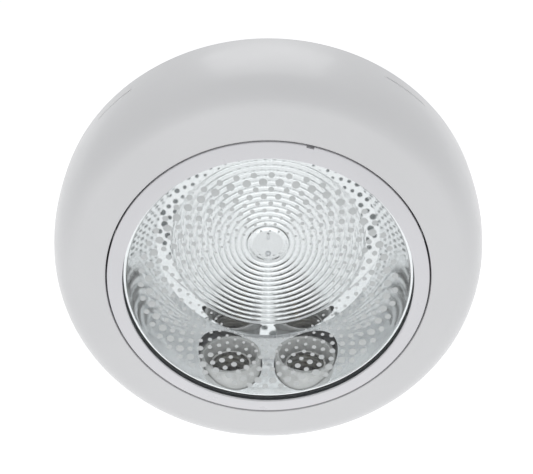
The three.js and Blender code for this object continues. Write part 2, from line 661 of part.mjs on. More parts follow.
function reflectorTop() {
  const disc = turnedOut([
    [0, RIBBED_FRONT - REFLECTOR_WALL],
    [RIBBED_RADIUS + REFLECTOR_WALL, RIBBED_FRONT - REFLECTOR_WALL],
    [RIBBED_RADIUS + REFLECTOR_WALL, DISC_FRONT - REFLECTOR_WALL],
    [DISC_RADIUS, DISC_FRONT - REFLECTOR_WALL],
    [DISC_RADIUS, DISC_FRONT],
    [RIBBED_RADIUS, DISC_FRONT],
    [RIBBED_RADIUS, RIBBED_FRONT],
    [0, RIBBED_FRONT],
  ]);
  const screwHole = rod(SCREW_SHANK_RADIUS + CLEARANCE, 0, CONE_BACK_HEIGHT);
  const tabHole = block(
    LOCATING_TAB_THICKNESS + 2 * CLEARANCE,
    LOCATING_TAB_WIDTH + 2 * CLEARANCE,
    CONE_BACK_HEIGHT,
    0,
    FIXING_OFFSET,
    RIBBED_FRONT,
  );
  return piece('reflector_top', aluminium, shaped(disc, {
    cut: [screwHole.translate(0, -FIXING_OFFSET, 0), tabHole],
  }));
}

// Hat-shaped bracket welded to the plate, with the tab that stops the reflector turning.
function reflectorBracket() {
  const half = HAT_TOP_WIDTH / 2;
  const foot = half + HAT_FOOT;
  const hat = strip([
    [-foot, PLATE_TOP],
    [-half + SHEET, PLATE_TOP],
    [-half + SHEET, HAT_TOP - SHEET],
    [half - SHEET, HAT_TOP - SHEET],
    [half - SHEET, PLATE_TOP],
    [foot, PLATE_TOP],
    [foot, PLATE_TOP + SHEET],
    [half, PLATE_TOP + SHEET],
    [half, HAT_TOP],
    [-half, HAT_TOP],
    [-half, PLATE_TOP + SHEET],
    [-foot, PLATE_TOP + SHEET],
  ], HAT_DEPTH);
  const tabBottom = HAT_TOP - SHEET;
  const tabTop = RIBBED_FRONT + LOCATING_TAB_STAND;
  const tab = block(
    LOCATING_TAB_THICKNESS,
    LOCATING_TAB_WIDTH,
    tabTop - tabBottom,
    0,
    FIXING_OFFSET,
    (tabTop + tabBottom) / 2,
  );
  const hole = rod(SCREW_SHANK_RADIUS + CLEARANCE, tabBottom - 1, HAT_TOP + 1);
  return piece('reflector_bracket', steel, shaped(hat, {
    join: [tab],
    cut: [hole.translate(0, -FIXING_OFFSET, 0)],
  }));
}

// ---------------------------------------------------------------- screws

// A slotted pan-head screw standing on z = 0 with its shank below.
function screw(name, shankLength, finish = steel) {
  const solid = turnedOut([
    [0, -shankLength],
    [SCREW_SHANK_RADIUS, -shankLength],
    [SCREW_SHANK_RADIUS, 0],
    [SCREW_HEAD_RADIUS, 0],
    [SCREW_HEAD_RADIUS, SCREW_HEAD_HEIGHT / 2],
    [SCREW_HEAD_RADIUS / 2, SCREW_HEAD_HEIGHT],
    [0, SCREW_HEAD_HEIGHT],
  ], SCREW_FACETS);
  const slot = block(SCREW_SLOT_WIDTH, 3 * SCREW_HEAD_RADIUS, SCREW_HEAD_HEIGHT, 0, 0, SCREW_HEAD_HEIGHT);
  return piece(name, finish, shaped(solid, { cut: [slot] }));
}

// ---------------------------------------------------------------- lampholders

function holderSkirt(name) {
  const throat = CORE_RADIUS + CLEARANCE;
  return piece(name, holderPlastic, turned([
    [HOLDER_SKIRT_BORE, 0],
    [HOLDER_SKIRT_BORE, HOLDER_SKIRT_FLOOR - HOLDER_SKIRT_LENGTH],
    [throat, HOLDER_SKIRT_FLOOR - HOLDER_SKIRT_LENGTH],
    [throat, -HOLDER_SKIRT_LENGTH],
    [HOLDER_SKIRT_RADIUS, -HOLDER_SKIRT_LENGTH],
    [HOLDER_SKIRT_RADIUS, 0],
  ], 32));
}

function holderCore(name) {
  const hole = CONTACT_SHANK_RADIUS + CLEARANCE;
  return piece(name, porcelain, turned([
    [CORE_BORE, -CORE_RECESS],
    [CORE_RADIUS, -CORE_RECESS],
    [CORE_RADIUS, -CORE_RECESS - CORE_LENGTH],
    [hole, -CORE_RECESS - CORE_LENGTH],
    [hole, -CORE_RECESS - CORE_LENGTH + CORE_FLOOR],
    [CORE_BORE, -CORE_RECESS - CORE_LENGTH + CORE_FLOOR],
  ], 28));
}

// Rolled thread: crests and roots alternate down a thin metal sleeve.
function screwShell(name) {
  const inner = [];
  const outer = [];
  for (let i = 0; i <= 2 * THREAD_TURNS; i += 1) {
    const radius = THREAD_RADIUS + (i % 2) * THREAD_DEPTH;
    const height = -THREAD_LENGTH_FROM_MOUTH - (i * THREAD_PITCH) / 2;
    inner.push([radius, height]);
    outer.push([radius + THREAD_WALL, height]);
  }
  return piece(name, nickel, turned([...inner, ...outer.reverse()], 24));
}

function holderCap(name) {
  const inner = CAP_RADIUS - CAP_WALL;
  return piece(name, holderPlastic, turned([
    [inner, 0],
    [CAP_RADIUS, 0],
    [CAP_RADIUS, CAP_ROUND - CAP_LENGTH],
    [CAP_RADIUS - CAP_ROUND, -CAP_LENGTH],
    [0, -CAP_LENGTH],
    [0, CAP_WALL - CAP_LENGTH],
    [inner - CAP_ROUND, CAP_WALL - CAP_LENGTH],
    [inner, CAP_ROUND + CAP_WALL - CAP_LENGTH],
  ], 28));
}

// Sprung centre contact: a button on a shank that slides in the floor of the core.
function centreContact(name) {
  const floor = -CORE_RECESS - CORE_LENGTH + CORE_FLOOR;
  return piece(name, brass, turned([
    [0, floor + CONTACT_STAND],
    [CONTACT_RADIUS, floor + CONTACT_STAND - CONTACT_HEAD / 2],
    [CONTACT_RADIUS, floor + CONTACT_STAND - CONTACT_HEAD],
    [CONTACT_SHANK_RADIUS, floor + CONTACT_STAND - CONTACT_HEAD],
    [CONTACT_SHANK_RADIUS, floor - CORE_FLOOR - CONTACT_TAIL],
    [0, floor - CORE_FLOOR - CONTACT_TAIL],
  ], 12));
}

function lampholder(side, name) {
  const cap = holderCap(`lampholder_cap_${name}`);
  cap.position.y = CAP_START_Y - MOUTH_Y;
  const group = new THREE.Group();
  group.add(
    holderSkirt(`lampholder_skirt_${name}`),
    holderCore(`lampholder_core_${name}`),
    screwShell(`screw_shell_${name}`),
    centreContact(`centre_contact_${name}`),
    cap,
  );
  group.position.set(side * LAMP_OFFSET, MOUTH_Y, LAMP_HEIGHT);
  return group;
}

// Angle bracket that carries both lampholders, with its foot on the back plate.
function holderBracket() {
  const width = 2 * HOLDER_BRACKET_HALF_WIDTH;
  const sheet = HOLDER_BRACKET_SHEET;
  const middle = (PLATE_TOP + HOLDER_BRACKET_HEIGHT) / 2;
  const wallHeight = HOLDER_BRACKET_HEIGHT - PLATE_TOP;
  const wall = block(width, sheet, wallHeight, 0, HOLDER_BRACKET_Y - sheet / 2, middle);
  const foot = block(width, HOLDER_BRACKET_FOOT, sheet, 0, HOLDER_BRACKET_Y - HOLDER_BRACKET_FOOT / 2,
    PLATE_TOP + sheet / 2);
  const cut = [];
  for (const side of [-1, 1]) {
    const opening = rod(CORE_RADIUS + 2 * CLEARANCE, -5, 5, 28).rotateX(Math.PI / 2);
    cut.push(opening.translate(side * LAMP_OFFSET, HOLDER_BRACKET_Y, LAMP_HEIGHT));
    const screwHole = rod(SCREW_SHANK_RADIUS + CLEARANCE, 0, 2 * PLATE_TOP + sheet);
    const screwY = HOLDER_BRACKET_Y - HOLDER_BRACKET_FOOT / 2;
    cut.push(screwHole.translate(side * HOLDER_BRACKET_SCREW_X, screwY, 0));
  }
  return piece('lampholder_bracket', steel, shaped(wall, { join: [foot], cut }));
}

// ---------------------------------------------------------------- terminal block and wiring

function poleX(index) {
  return BLOCK_X + (index - 1) * POLE_SPACING;
}

function terminalBlock() {
  const body = block(BLOCK_WIDTH, BLOCK_DEPTH, BLOCK_HEIGHT, BLOCK_X, BLOCK_Y, PLATE_TOP + BLOCK_HEIGHT / 2);
  const cut = [];
  for (let i = 0; i < 3; i += 1) {
    const wireHole = rod(WIRE_HOLE_RADIUS, -BLOCK_DEPTH, BLOCK_DEPTH, 12).rotateX(Math.PI / 2);
    cut.push(wireHole.translate(poleX(i), BLOCK_Y, POLE_Z));
    const screwHole = rod(SCREW_HEAD_RADIUS + CLEARANCE, 0, BLOCK_HEIGHT, 12);
    cut.push(screwHole.translate(poleX(i), BLOCK_Y, POLE_Z));
  }
  return piece('terminal_block', porcelain, shaped(body, { cut }));
}

function terminalSleeve(name, index) {
  const radius = WIRE_HOLE_RADIUS - CLEARANCE;
  const length = BLOCK_DEPTH - 2 * SLEEVE_INSET;
  const tube = turned([
    [SLEEVE_BORE, -length / 2],
    [radius, -length / 2],
    [radius, length / 2],
    [SLEEVE_BORE, length / 2],
  ], 12);
  return piece(name, brass, tube.translate(poleX(index), BLOCK_Y, POLE_Z));
}

// Grub screw above its sleeve.
function terminalScrew(name, index) {
  const grub = screw(name, GRUB_LENGTH);
  grub.position.set(poleX(index), BLOCK_Y, POLE_Z + WIRE_HOLE_RADIUS + GRUB_STAND);
  return grub;
}

// Arched bar that holds the supply cable down on the plate.
function cordClamp() {
  const half = CLAMP_LENGTH / 2;
  const outer = CLAMP_ARCH_RADIUS + CLAMP_BAR;
  const bar = new THREE.Shape();
  bar.moveTo(-half, 0);
  bar.lineTo(-CLAMP_ARCH_RADIUS, 0);
  bar.absarc(0, 0, CLAMP_ARCH_RADIUS, Math.PI, 0, true);
  bar.lineTo(half, 0);
  bar.lineTo(half, CLAMP_BAR);
  bar.lineTo(Math.sqrt(outer ** 2 - CLAMP_BAR ** 2), CLAMP_BAR);
  bar.absarc(0, 0, outer, Math.asin(CLAMP_BAR / outer), Math.PI - Math.asin(CLAMP_BAR / outer), false);
  bar.lineTo(-half, CLAMP_BAR);
  bar.closePath();
  const solid = new THREE.ExtrudeGeometry(bar, { depth: CLAMP_DEPTH, bevelEnabled: false, curveSegments: 8 });
  solid.translate(0, 0, -CLAMP_DEPTH / 2).rotateX(Math.PI / 2).translate(CLAMP_X, CLAMP_Y, PLATE_TOP);
  const holes = [-1, 1].map((side) => rod(SCREW_SHANK_RADIUS + CLEARANCE, 0, 2 * PLATE_TOP + CLAMP_BAR)
    .translate(CLAMP_X + (side * CLAMP_SCREW_SPACING) / 2, CLAMP_Y, 0));
  return piece('cord_clamp', clearPlastic, shaped(solid, { cut: holes }));
}

function earthParts() {
  const stud = rod(EARTH_STUD_RADIUS, PLATE_TOP, PLATE_TOP + EARTH_STUD_HEIGHT, 12);
  const bore = () => rod(EARTH_STUD_RADIUS + CLEARANCE, 0, 3 * EARTH_STUD_HEIGHT, 12);
  const tagBase = PLATE_TOP + CLEARANCE;
  const tagTop = tagBase + EARTH_TAG_THICKNESS;
  const eye = rod(EARTH_EYE_RADIUS, tagBase, tagTop, 16);
  const barrelLength = EARTH_BARREL_END - EARTH_STUD_RADIUS;
  const barrelMiddle = (EARTH_BARREL_END + EARTH_STUD_RADIUS) / 2;
  const barrel = block(EARTH_BARREL_WIDTH, barrelLength, EARTH_TAG_THICKNESS, 0, barrelMiddle,
    (tagBase + tagTop) / 2);
  const nutBase = tagTop + CLEARANCE;
  const nut = rod(EARTH_NUT_RADIUS, nutBase, nutBase + EARTH_NUT_HEIGHT, 6);
  const group = new THREE.Group();
  group.add(
    piece('earth_stud', brass, stud),
    piece('earth_tag', nickel, shaped(eye, { join: [barrel], cut: [bore()] })),
    piece('earth_nut', brass, shaped(nut, { cut: [bore()] })),
  );
  group.position.set(EARTH_STUD_X, EARTH_STUD_Y, 0);
  return group;
}

function lead(name, finish, route, steps) {
  const curve = new THREE.CatmullRomCurve3(route.map(([x, y, z]) => new THREE.Vector3(x, y, z)));
  const section = new THREE.Shape();
  section.absarc(0, 0, LEAD_RADIUS, 0, 2 * Math.PI, false);
  const solid = new THREE.ExtrudeGeometry(section, { steps, extrudePath: curve, curveSegments: 3 });
  return piece(name, finish, solid);
}

// A lead from a pole of the terminal block, behind the reflector, to the back of a lampholder cap.
// The left pair dives at once and passes under the right pair, and each pair keeps its two leads
// side by side, the outer one of the two starting from the outer pole.
function holderLead(name, finish, side, index) {
  const low = PLATE_TOP + LEAD_HEIGHT;
  const crossing = side < 0 ? low : POLE_Z + 1;
  const rank = (side > 0) === (index === 1) ? 1 : 0;
  const aside = side * (HOLDER_BRACKET_HALF_WIDTH + LEAD_ASIDE + rank * LEAD_SPACING);
  const startX = poleX(index) + side * LEAD_PAIR_OFFSET;
  const endX = side * (LAMP_OFFSET + (rank - 0.5) * LEAD_SPACING);
  const endY = CAP_START_Y - CAP_LENGTH / 2 - (rank - 0.5) * LEAD_SPACING;
  const fromBlock = BLOCK_Y - BLOCK_DEPTH / 2 - CLEARANCE;
  return lead(name, finish, [
    [startX, fromBlock, POLE_Z],
    [startX, fromBlock - 6, (POLE_Z + crossing) / 2],
    [startX + side * 5, fromBlock - 16, crossing],
    [startX + side * 22, fromBlock - 36, low],
    [aside, LEAD_STRAIGHT_TOP, low],
    [aside, LEAD_STRAIGHT_BOTTOM, low],
    [aside + side * 2, HOLDER_BRACKET_Y, low + 2],
    [endX + side * 12, endY - 1, low + 3],
    [endX, endY, low + 10],
    [endX, endY, LAMP_HEIGHT - CAP_RADIUS - CLEARANCE],
  ], 26);
}

function earthLead() {
  const fromBlock = BLOCK_Y - BLOCK_DEPTH / 2 - CLEARANCE;
  const tagY = EARTH_STUD_Y + EARTH_BARREL_END + CLEARANCE;
  return lead('earth_lead', greenLead, [
    [poleX(2), BLOCK_Y + BLOCK_DEPTH / 2 + CLEARANCE, POLE_Z],
    [poleX(2) + 2, BLOCK_Y + BLOCK_DEPTH / 2 + 6, POLE_Z],
    [(poleX(2) + EARTH_STUD_X) / 2, fromBlock + 27, POLE_Z - 2],
    [EARTH_STUD_X, tagY + 6, PLATE_TOP + 3],
    [EARTH_STUD_X, tagY, PLATE_TOP + 1.4],
  ], 12);
}

// ---------------------------------------------------------------- assembly

const light = new THREE.Group();

const base = new THREE.Group();
base.add(
  backPlate(),
  cableGrommet(),
  terminalBlock(),
  cordClamp(),
  reflectorCone(),
  reflectorTop(),
  reflectorBracket(),
  holderBracket(),
  lampholder(-1, 'left'),
  lampholder(1, 'right'),
  earthParts(),
  earthLead(),
);
['live', 'neutral', 'earth'].forEach((pole, index) => {
  base.add(terminalSleeve(`terminal_sleeve_${pole}`, index), terminalScrew(`terminal_screw_${pole}`, index));
});
[['left', -1], ['right', 1]].forEach(([name, side]) => {
  base.add(holderLead(`live_lead_${name}`, brownLead, side, 0));
  base.add(holderLead(`neutral_lead_${name}`, blueLead, side, 1));
  const bracketScrew = screw(`bracket_screw_${name}`, HOLDER_BRACKET_SHEET + CLEARANCE);
  bracketScrew.position.set(
    side * HOLDER_BRACKET_SCREW_X,
    HOLDER_BRACKET_Y - HOLDER_BRACKET_FOOT / 2,
    PLATE_TOP + HOLDER_BRACKET_SHEET + CLEARANCE,
  );
  const clampScrew = screw(`clamp_screw_${name}`, CLAMP_BAR + CLEARANCE);
  clampScrew.position.set(
    CLAMP_X + (side * CLAMP_SCREW_SPACING) / 2,
    CLAMP_Y,
    PLATE_TOP + CLAMP_BAR + CLEARANCE,
  );
  base.add(bracketScrew, clampScrew);
});
const reflectorScrew = screw('reflector_screw', RIBBED_FRONT + CLEARANCE - HAT_TOP + SHEET);
reflectorScrew.position.set(0, -FIXING_OFFSET, RIBBED_FRONT + CLEARANCE);
base.add(reflectorScrew);
[['left', SLOT_LEFT_CLOCK], ['right', SLOT_RIGHT_CLOCK]].forEach(([name, degrees]) => {
  base.add(atLatch(degrees, [
    latchLever(`latch_${name}`),
    latchPin(`latch_pin_${name}`),
    latchSpring(`latch_spring_${name}`),
  ]));
});
light.add(base);

light.add(housingShell());

const trim = new THREE.Group();
trim.add(trimRing(), glassDisc(), glassGasket());
ringPlaces(CLIP_COUNT, CLIP_START).forEach((turn, index) => {
  const clip = glassClip(`glass_clip_${index + 1}`);
  clip.rotation.z = turn;
  const clipScrew = screw(`clip_screw_${index + 1}`, CLIP_THICKNESS + CLIP_SCREW_REACH);
  clipScrew.rotation.x = Math.PI;
  clipScrew.position.set(CLIP_SCREW_R, 0, CLIP_FRONT - CLIP_THICKNESS - CLEARANCE);
  const turnedScrew = new THREE.Group();
  turnedScrew.rotation.z = turn;
  turnedScrew.add(clipScrew);
  trim.add(clip, turnedScrew);
});
ringPlaces(SPRING_COUNT, SPRING_START).forEach((turn, index) => {
  const spring = trimSpring(`trim_spring_${index + 1}`);
  spring.rotation.z = turn;
  trim.add(spring);
});
light.add(trim);

light.rotation.x = Math.PI / 2;

export default light;
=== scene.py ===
import math

import bmesh
import bpy
import numpy as np
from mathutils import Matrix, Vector


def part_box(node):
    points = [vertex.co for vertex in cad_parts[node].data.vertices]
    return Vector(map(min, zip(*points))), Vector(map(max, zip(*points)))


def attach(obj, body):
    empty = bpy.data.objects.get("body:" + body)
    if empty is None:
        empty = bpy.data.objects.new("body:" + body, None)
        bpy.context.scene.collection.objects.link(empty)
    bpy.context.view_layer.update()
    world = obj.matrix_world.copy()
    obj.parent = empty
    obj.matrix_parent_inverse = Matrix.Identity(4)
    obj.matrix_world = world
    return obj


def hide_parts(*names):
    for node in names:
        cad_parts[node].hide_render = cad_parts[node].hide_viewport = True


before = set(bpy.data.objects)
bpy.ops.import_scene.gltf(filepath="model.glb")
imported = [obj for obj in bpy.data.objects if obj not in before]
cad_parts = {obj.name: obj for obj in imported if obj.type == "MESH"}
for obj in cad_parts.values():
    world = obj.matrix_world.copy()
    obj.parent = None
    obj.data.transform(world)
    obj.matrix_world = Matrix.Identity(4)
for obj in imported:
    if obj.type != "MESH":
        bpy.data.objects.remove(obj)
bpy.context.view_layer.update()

# ------------------------------------------------------------------ camera
# A short telephoto lens in front of the light and above it, turned down so that it looks at the
# face 31.5 degrees off its axis. It is set from the plane of the housing's opening.
OFF_AXIS = math.radians(31.49)
CAMERA_FROM_OPENING = Vector((-0.00123, -0.6083, 0.4140))
LENS_LENGTH = 70.69
SENSOR_WIDTH = 36
MIRROR_BOUNCES = 12
ALL_BOUNCES = 16
CLEAR_BOUNCES = 24

opening_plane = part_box("housing_shell")[0].y
lens = bpy.data.cameras.new("camera")
lens.lens = LENS_LENGTH
lens.sensor_width = SENSOR_WIDTH
camera = bpy.data.objects.new("camera", lens)
camera.location = Vector((0, opening_plane, 0)) + CAMERA_FROM_OPENING
camera.rotation_euler = (math.pi / 2 - OFF_AXIS, 0, 0)
bpy.context.scene.collection.objects.link(camera)
bpy.context.scene.camera = camera
bpy.context.scene.view_settings.view_transform = "Standard"
# The polished reflector mirrors itself many times over, so light is followed further than usual.
bpy.context.scene.cycles.glossy_bounces = MIRROR_BOUNCES
bpy.context.scene.cycles.max_bounces = ALL_BOUNCES
bpy.context.scene.cycles.transparent_max_bounces = CLEAR_BOUNCES

# ------------------------------------------------------------------ studio
# A white tent: an even surround, a pale floor that glows a little and lies well below the light,
# and two large soft lamps, one in front and one behind and above.
TENT_COLOUR = (0.98, 0.99, 1.0)
TENT_STRENGTH = 0.76
FLOOR_DROP = 0.6
FLOOR_HALF = 40.0
FLOOR_POINTS = 9
FLOOR_GLOW = 0.3
LAMPS_AIM = (0, -0.04, 0)
LAMPS = (  # name, place and size in metres, power in watts
    ("lamp_front", (0, -2.3, 0.3), 1.6, 4),
    ("lamp_behind", (0, 1.3, 1.3), 1.2, 6),
)


def new_finish(name):
    """A material with its node tree and its main shader."""
    finish = bpy.data.materials.new(name)
    finish.use_nodes = True
    tree = finish.node_tree
    return finish, tree, tree.nodes["Principled BSDF"]


def add_node(tree, kind, inputs=None, **settings):
    """A node of that kind, with its plain settings and the values of its sockets."""
    made = tree.nodes.new(kind)
    for key, value in settings.items():
        setattr(made, key, value)
    for key, value in (inputs or {}).items():
        made.inputs[key].default_value = value
    return made


def grain(tree, scale, detail=3.0, stretch=(1, 1, 1)):
    """Noise that stays fixed to the piece: scale is in features per metre."""
    place = add_node(tree, "ShaderNodeTexCoord")
    turn = add_node(tree, "ShaderNodeMapping", {"Scale": stretch})
    noise = add_node(tree, "ShaderNodeTexNoise",
                     {"Scale": scale, "Detail": detail, "Roughness": 0.5})
    tree.links.new(place.outputs["Object"], turn.inputs["Vector"])
    tree.links.new(turn.outputs["Vector"], noise.inputs["Vector"])
    return noise.outputs["Fac"]


def tinted(tree, source, dark, light, start=0.3, end=0.7):
    """A colour between dark and light, as the source goes from start to end."""
    ramp = add_node(tree, "ShaderNodeValToRGB")
    ramp.color_ramp.elements[0].position = start
    ramp.color_ramp.elements[0].color = (*dark, 1)
    ramp.color_ramp.elements[1].position = end
    ramp.color_ramp.elements[1].color = (*light, 1)
    tree.links.new(source, ramp.inputs["Fac"])
    return ramp.outputs["Color"]


def surround():
    """Even soft light from all sides."""
    world = bpy.data.worlds.new("tent")
    world.use_nodes = True
    back = world.node_tree.nodes["Background"]
    back.inputs["Color"].default_value = (*TENT_COLOUR, 1)
    back.inputs["Strength"].default_value = TENT_STRENGTH
    bpy.context.scene.world = world


def quads(rows, columns, wrap_rows, wrap_columns):
    """Corner numbers of the cells of a grid of points, closed on itself where it wraps."""
    index = np.arange(rows * columns).reshape(rows, columns)
    if wrap_rows:
        index = np.vstack([index, index[:1]])
    if wrap_columns:
        index = np.hstack([index, index[:, :1]])
    return np.stack([index[:-1, :-1], index[1:, :-1], index[1:, 1:], index[:-1, 1:]], -1)


def pale_floor():
    """A wide level sheet of white paper that glows a little, with faint clouding."""
    finish, tree, shader = new_finish("floor_paper")
    cloud = grain(tree, 1.5)
    colour = tinted(tree, cloud, (0.93, 0.93, 0.93), (0.96, 0.96, 0.96))
    tree.links.new(colour, shader.inputs["Base Color"])
    shader.inputs["Roughness"].default_value = 0.9
    shader.inputs["Emission Color"].default_value = (1, 1, 1, 1)
    shader.inputs["Emission Strength"].default_value = FLOOR_GLOW
    ends = np.linspace(-FLOOR_HALF, FLOOR_HALF, FLOOR_POINTS)
    across, along = np.meshgrid(ends, ends, indexing="ij")
    points = np.stack([across, along, np.full_like(across, -FLOOR_DROP)], -1)
    faces = quads(*across.shape, False, False)
    mesh = bpy.data.meshes.new("floor")
    mesh.from_pydata(points.reshape(-1, 3).tolist(), [], faces.reshape(-1, 4).tolist())
    mesh.materials.append(finish)
    floor = bpy.data.objects.new("floor", mesh)
    bpy.context.scene.collection.objects.link(floor)


def soft_lamp(name, place, size, power):
    """A square soft box at place, facing the light."""
    light = bpy.data.lights.new(name, "AREA")
    light.shape = "SQUARE"
    light.size = size
    light.energy = power
    lamp = bpy.data.objects.new(name, light)
    lamp.location = place
    facing = Vector(LAMPS_AIM) - Vector(place)
    lamp.rotation_euler = facing.to_track_quat("-Z", "Y").to_euler()
    bpy.context.scene.collection.objects.link(lamp)


surround()
pale_floor()
for lamp_settings in LAMPS:
    soft_lamp(*lamp_settings)

# ------------------------------------------------------------------ housing
# The cover is spun from one disc of thin steel and painted gloss white. Its front falls slightly
# towards the rounded side, its opening is turned in as a collar, and two slots are punched in its
# side near the wall for the tool that tips the latches.
MM = 0.001
OPENING_R = 114.3
SHOULDER_R = 133.3
HOUSING_R = 157.5
FRONT_H = 70.0
FRONT_FALL = 2.0
STRAIGHT_H = 5.3
SQUARENESS = 2.34
COVER_WALL = 1.5
COVER_OFF_WALL = 0.5
COLLAR_BACK_H = 60.0
COLLAR_ROUND = 0.6
COLLAR_BEND = 0.5
MOUTH_REACH = 3
MOUTH_STEPS = 5
EDGE_ROUND = 0.3
FRONT_POINTS = 9
SHOULDER_POINTS = 54
SLOT_H = 15.5
SLOT_WIDTH = 1.2
SLOT_LENGTH = 33.0
SLOT_CLOCKS = (-42.5, 36.8)
COVER_STEP = math.radians(1.25)
SHARP_ABOVE = 32.0
MERGE_WITHIN = 2e-7
ON_LINE = 1e-6
PEEL_DEPTH = 0.000008
COAT_SHARE = 0.15
COAT_ROUGHNESS = 0.12


def turns_with(breaks, step):
    """Angles all the way round, near to step apart, that include the break angles."""
    breaks = np.sort(np.mod(breaks, 2 * math.pi))
    ends = np.append(breaks, breaks[0] + 2 * math.pi)
    counts = np.maximum(1, np.round(np.diff(ends) / step).astype(int))
    return np.concatenate([np.linspace(a, b, n, endpoint=False)
                           for a, b, n in zip(ends[:-1], ends[1:], counts)])


def about_light(profile, turns):
    """Every (radius, height) in mm is carried round the axis of the light, which stands out from
    the wall: x = r cos a, y = -h, z = r sin a. The grid is turns by profile points."""
    profile = np.asarray(profile, float) * MM
    r, h = profile[:, 0][None], profile[:, 1][None]
    a = np.asarray(turns)[:, None]
    return np.stack([r * np.cos(a), -h + 0 * a, r * np.sin(a)], -1)


def skin(name, points, faces, sharp=SHARP_ABOVE):
    """A piece from points and faces: doubles are merged, faces turned outwards, and edges sharper
    than that many degrees kept crisp."""
    mesh = bpy.data.meshes.new(name)
    mesh.from_pydata(np.reshape(points, (-1, 3)).tolist(), [], faces)
    work = bmesh.new()
    work.from_mesh(mesh)
    bmesh.ops.remove_doubles(work, verts=work.verts, dist=MERGE_WITHIN)
    bmesh.ops.recalc_face_normals(work, faces=work.faces)
    work.to_mesh(mesh)
    work.free()
    mesh.shade_smooth()
    mesh.set_sharp_from_angle(angle=math.radians(sharp))
    piece = bpy.data.objects.new(name, mesh)
    bpy.context.scene.collection.objects.link(piece)
    return piece


def eased(profile, radius, steps=3, closed=True):
    """A profile whose corners are rounded: between the points a short way before and after each
    corner P runs the curve (1-t)^2 A + 2t(1-t) P + t^2 B."""
    p = np.asarray(profile, float)
    before, after = np.roll(p, 1, 0), np.roll(p, -1, 0)
    reach_in = np.minimum(radius, 0.45 * np.linalg.norm(before - p, axis=1))
    reach_out = np.minimum(radius, 0.45 * np.linalg.norm(after - p, axis=1))
    if not closed:
        reach_in[[0, -1]] = reach_out[[0, -1]] = 0
    a = p + (before - p) * (reach_in / np.linalg.norm(before - p, axis=1))[:, None]
    b = p + (after - p) * (reach_out / np.linalg.norm(after - p, axis=1))[:, None]
    t = np.linspace(0, 1, steps + 1)[None, :, None]
    curve = (1 - t) ** 2 * a[:, None] + 2 * t * (1 - t) * p[:, None] + t ** 2 * b[:, None]
    return curve.reshape(-1, 2)


def shoulder_line(inset, heights):
    """The rounded side from the front to the straight band: radius = shoulder + across sin(t)^k,
    height = straight + out cos(t)^k with k = 2 / squareness, and a small extra fall near the
    front so that it starts at the slope of the front. Rows are added at the given heights."""
    across = HOUSING_R - inset - SHOULDER_R
    out = FRONT_H - FRONT_FALL - inset - STRAIGHT_H
    share = (np.asarray(heights, float) - STRAIGHT_H) / out
    extra = np.arccos(share ** (SQUARENESS / 2))
    t = np.sort(np.concatenate([np.linspace(0, math.pi / 2, SHOULDER_POINTS), extra]))
    u = np.sin(t) ** (2 / SQUARENESS)
    slope = FRONT_FALL / (SHOULDER_R - OPENING_R)
    fall = slope * across * u * (1 - u) ** 3
    h = STRAIGHT_H + out * np.abs(np.cos(t)) ** (2 / SQUARENESS) - fall
    return np.stack([SHOULDER_R + across * u, h], -1)


def housing_cover():
    """The closed section of the spun shell carried round the light, with the cells of the two
    slots left open and joined through the wall."""
    slot = np.array([SLOT_H - SLOT_WIDTH / 2, SLOT_H + SLOT_WIDTH / 2])
    outer, inner = shoulder_line(0, slot), shoulder_line(COVER_WALL, slot)
    front = np.linspace(OPENING_R + COLLAR_ROUND, SHOULDER_R, FRONT_POINTS)[:-1]
    fall = FRONT_FALL * (front - OPENING_R) / (SHOULDER_R - OPENING_R)
    mouth = eased([[OPENING_R + MOUTH_REACH, FRONT_H], [OPENING_R, FRONT_H],
                   [OPENING_R, FRONT_H - MOUTH_REACH]], COLLAR_ROUND, MOUTH_STEPS, closed=False)
    mouth = mouth[MOUTH_STEPS + 1:2 * (MOUTH_STEPS + 1)]
    collar_r = OPENING_R + COVER_WALL
    profile = np.concatenate([
        [[HOUSING_R - COVER_WALL, COVER_OFF_WALL], [HOUSING_R - EDGE_ROUND, COVER_OFF_WALL],
         [HOUSING_R, COVER_OFF_WALL + EDGE_ROUND]],
        outer[::-1],
        np.stack([front, FRONT_H - fall], -1)[::-1],
        mouth,
        [[OPENING_R, COLLAR_BACK_H], [collar_r, COLLAR_BACK_H],
         [collar_r, FRONT_H - COVER_WALL - COLLAR_BEND]],
        inner,
    ])
    half = SLOT_LENGTH / 2 / HOUSING_R
    middles = np.radians(90 - np.array(SLOT_CLOCKS))
    turns = turns_with(np.concatenate([middles - half, middles + half]), COVER_STEP)
    grid = about_light(profile, turns)
    cells = quads(*grid.shape[:2], True, True)
    index = np.arange(grid.shape[0] * grid.shape[1]).reshape(grid.shape[:2])
    rows = np.array([[np.argmin(np.hypot(*(profile - line[np.argmin(abs(line[:, 1] - h))]).T))
                      for h in slot] for line in (outer, inner)])
    keep = np.ones(cells.shape[:2], bool)
    walls = []
    for middle in middles:
        gap = np.abs((turns - middle + math.pi) % (2 * math.pi) - math.pi)
        inside = np.flatnonzero(gap < half + ON_LINE)
        inside = inside[np.argsort((turns[inside] - middle + math.pi) % (2 * math.pi))]
        keep[np.ix_(inside[:-1], rows.min(1))] = False
        for k in (0, 1):
            o, i = index[inside, rows[0, k]], index[inside, rows[1, k]]
            walls.append(np.stack([o[:-1], o[1:], i[1:], i[:-1]], -1))
        for e in (inside[0], inside[-1]):
            walls.append(np.array([[index[e, rows[0, 0]], index[e, rows[0, 1]],
                                    index[e, rows[1, 1]], index[e, rows[1, 0]]]]))
    faces = np.concatenate([cells[keep], *walls]).tolist()
    return skin("housing_cover", grid, faces)


def spread(tree, source, low, high, start=0.3, end=0.7):
    """The source stretched so that start gives low and end gives high."""
    ramp = add_node(tree, "ShaderNodeMapRange",
                    {"From Min": start, "From Max": end, "To Min": low, "To Max": high})
    tree.links.new(source, ramp.inputs["Value"])
    return ramp.outputs["Result"]


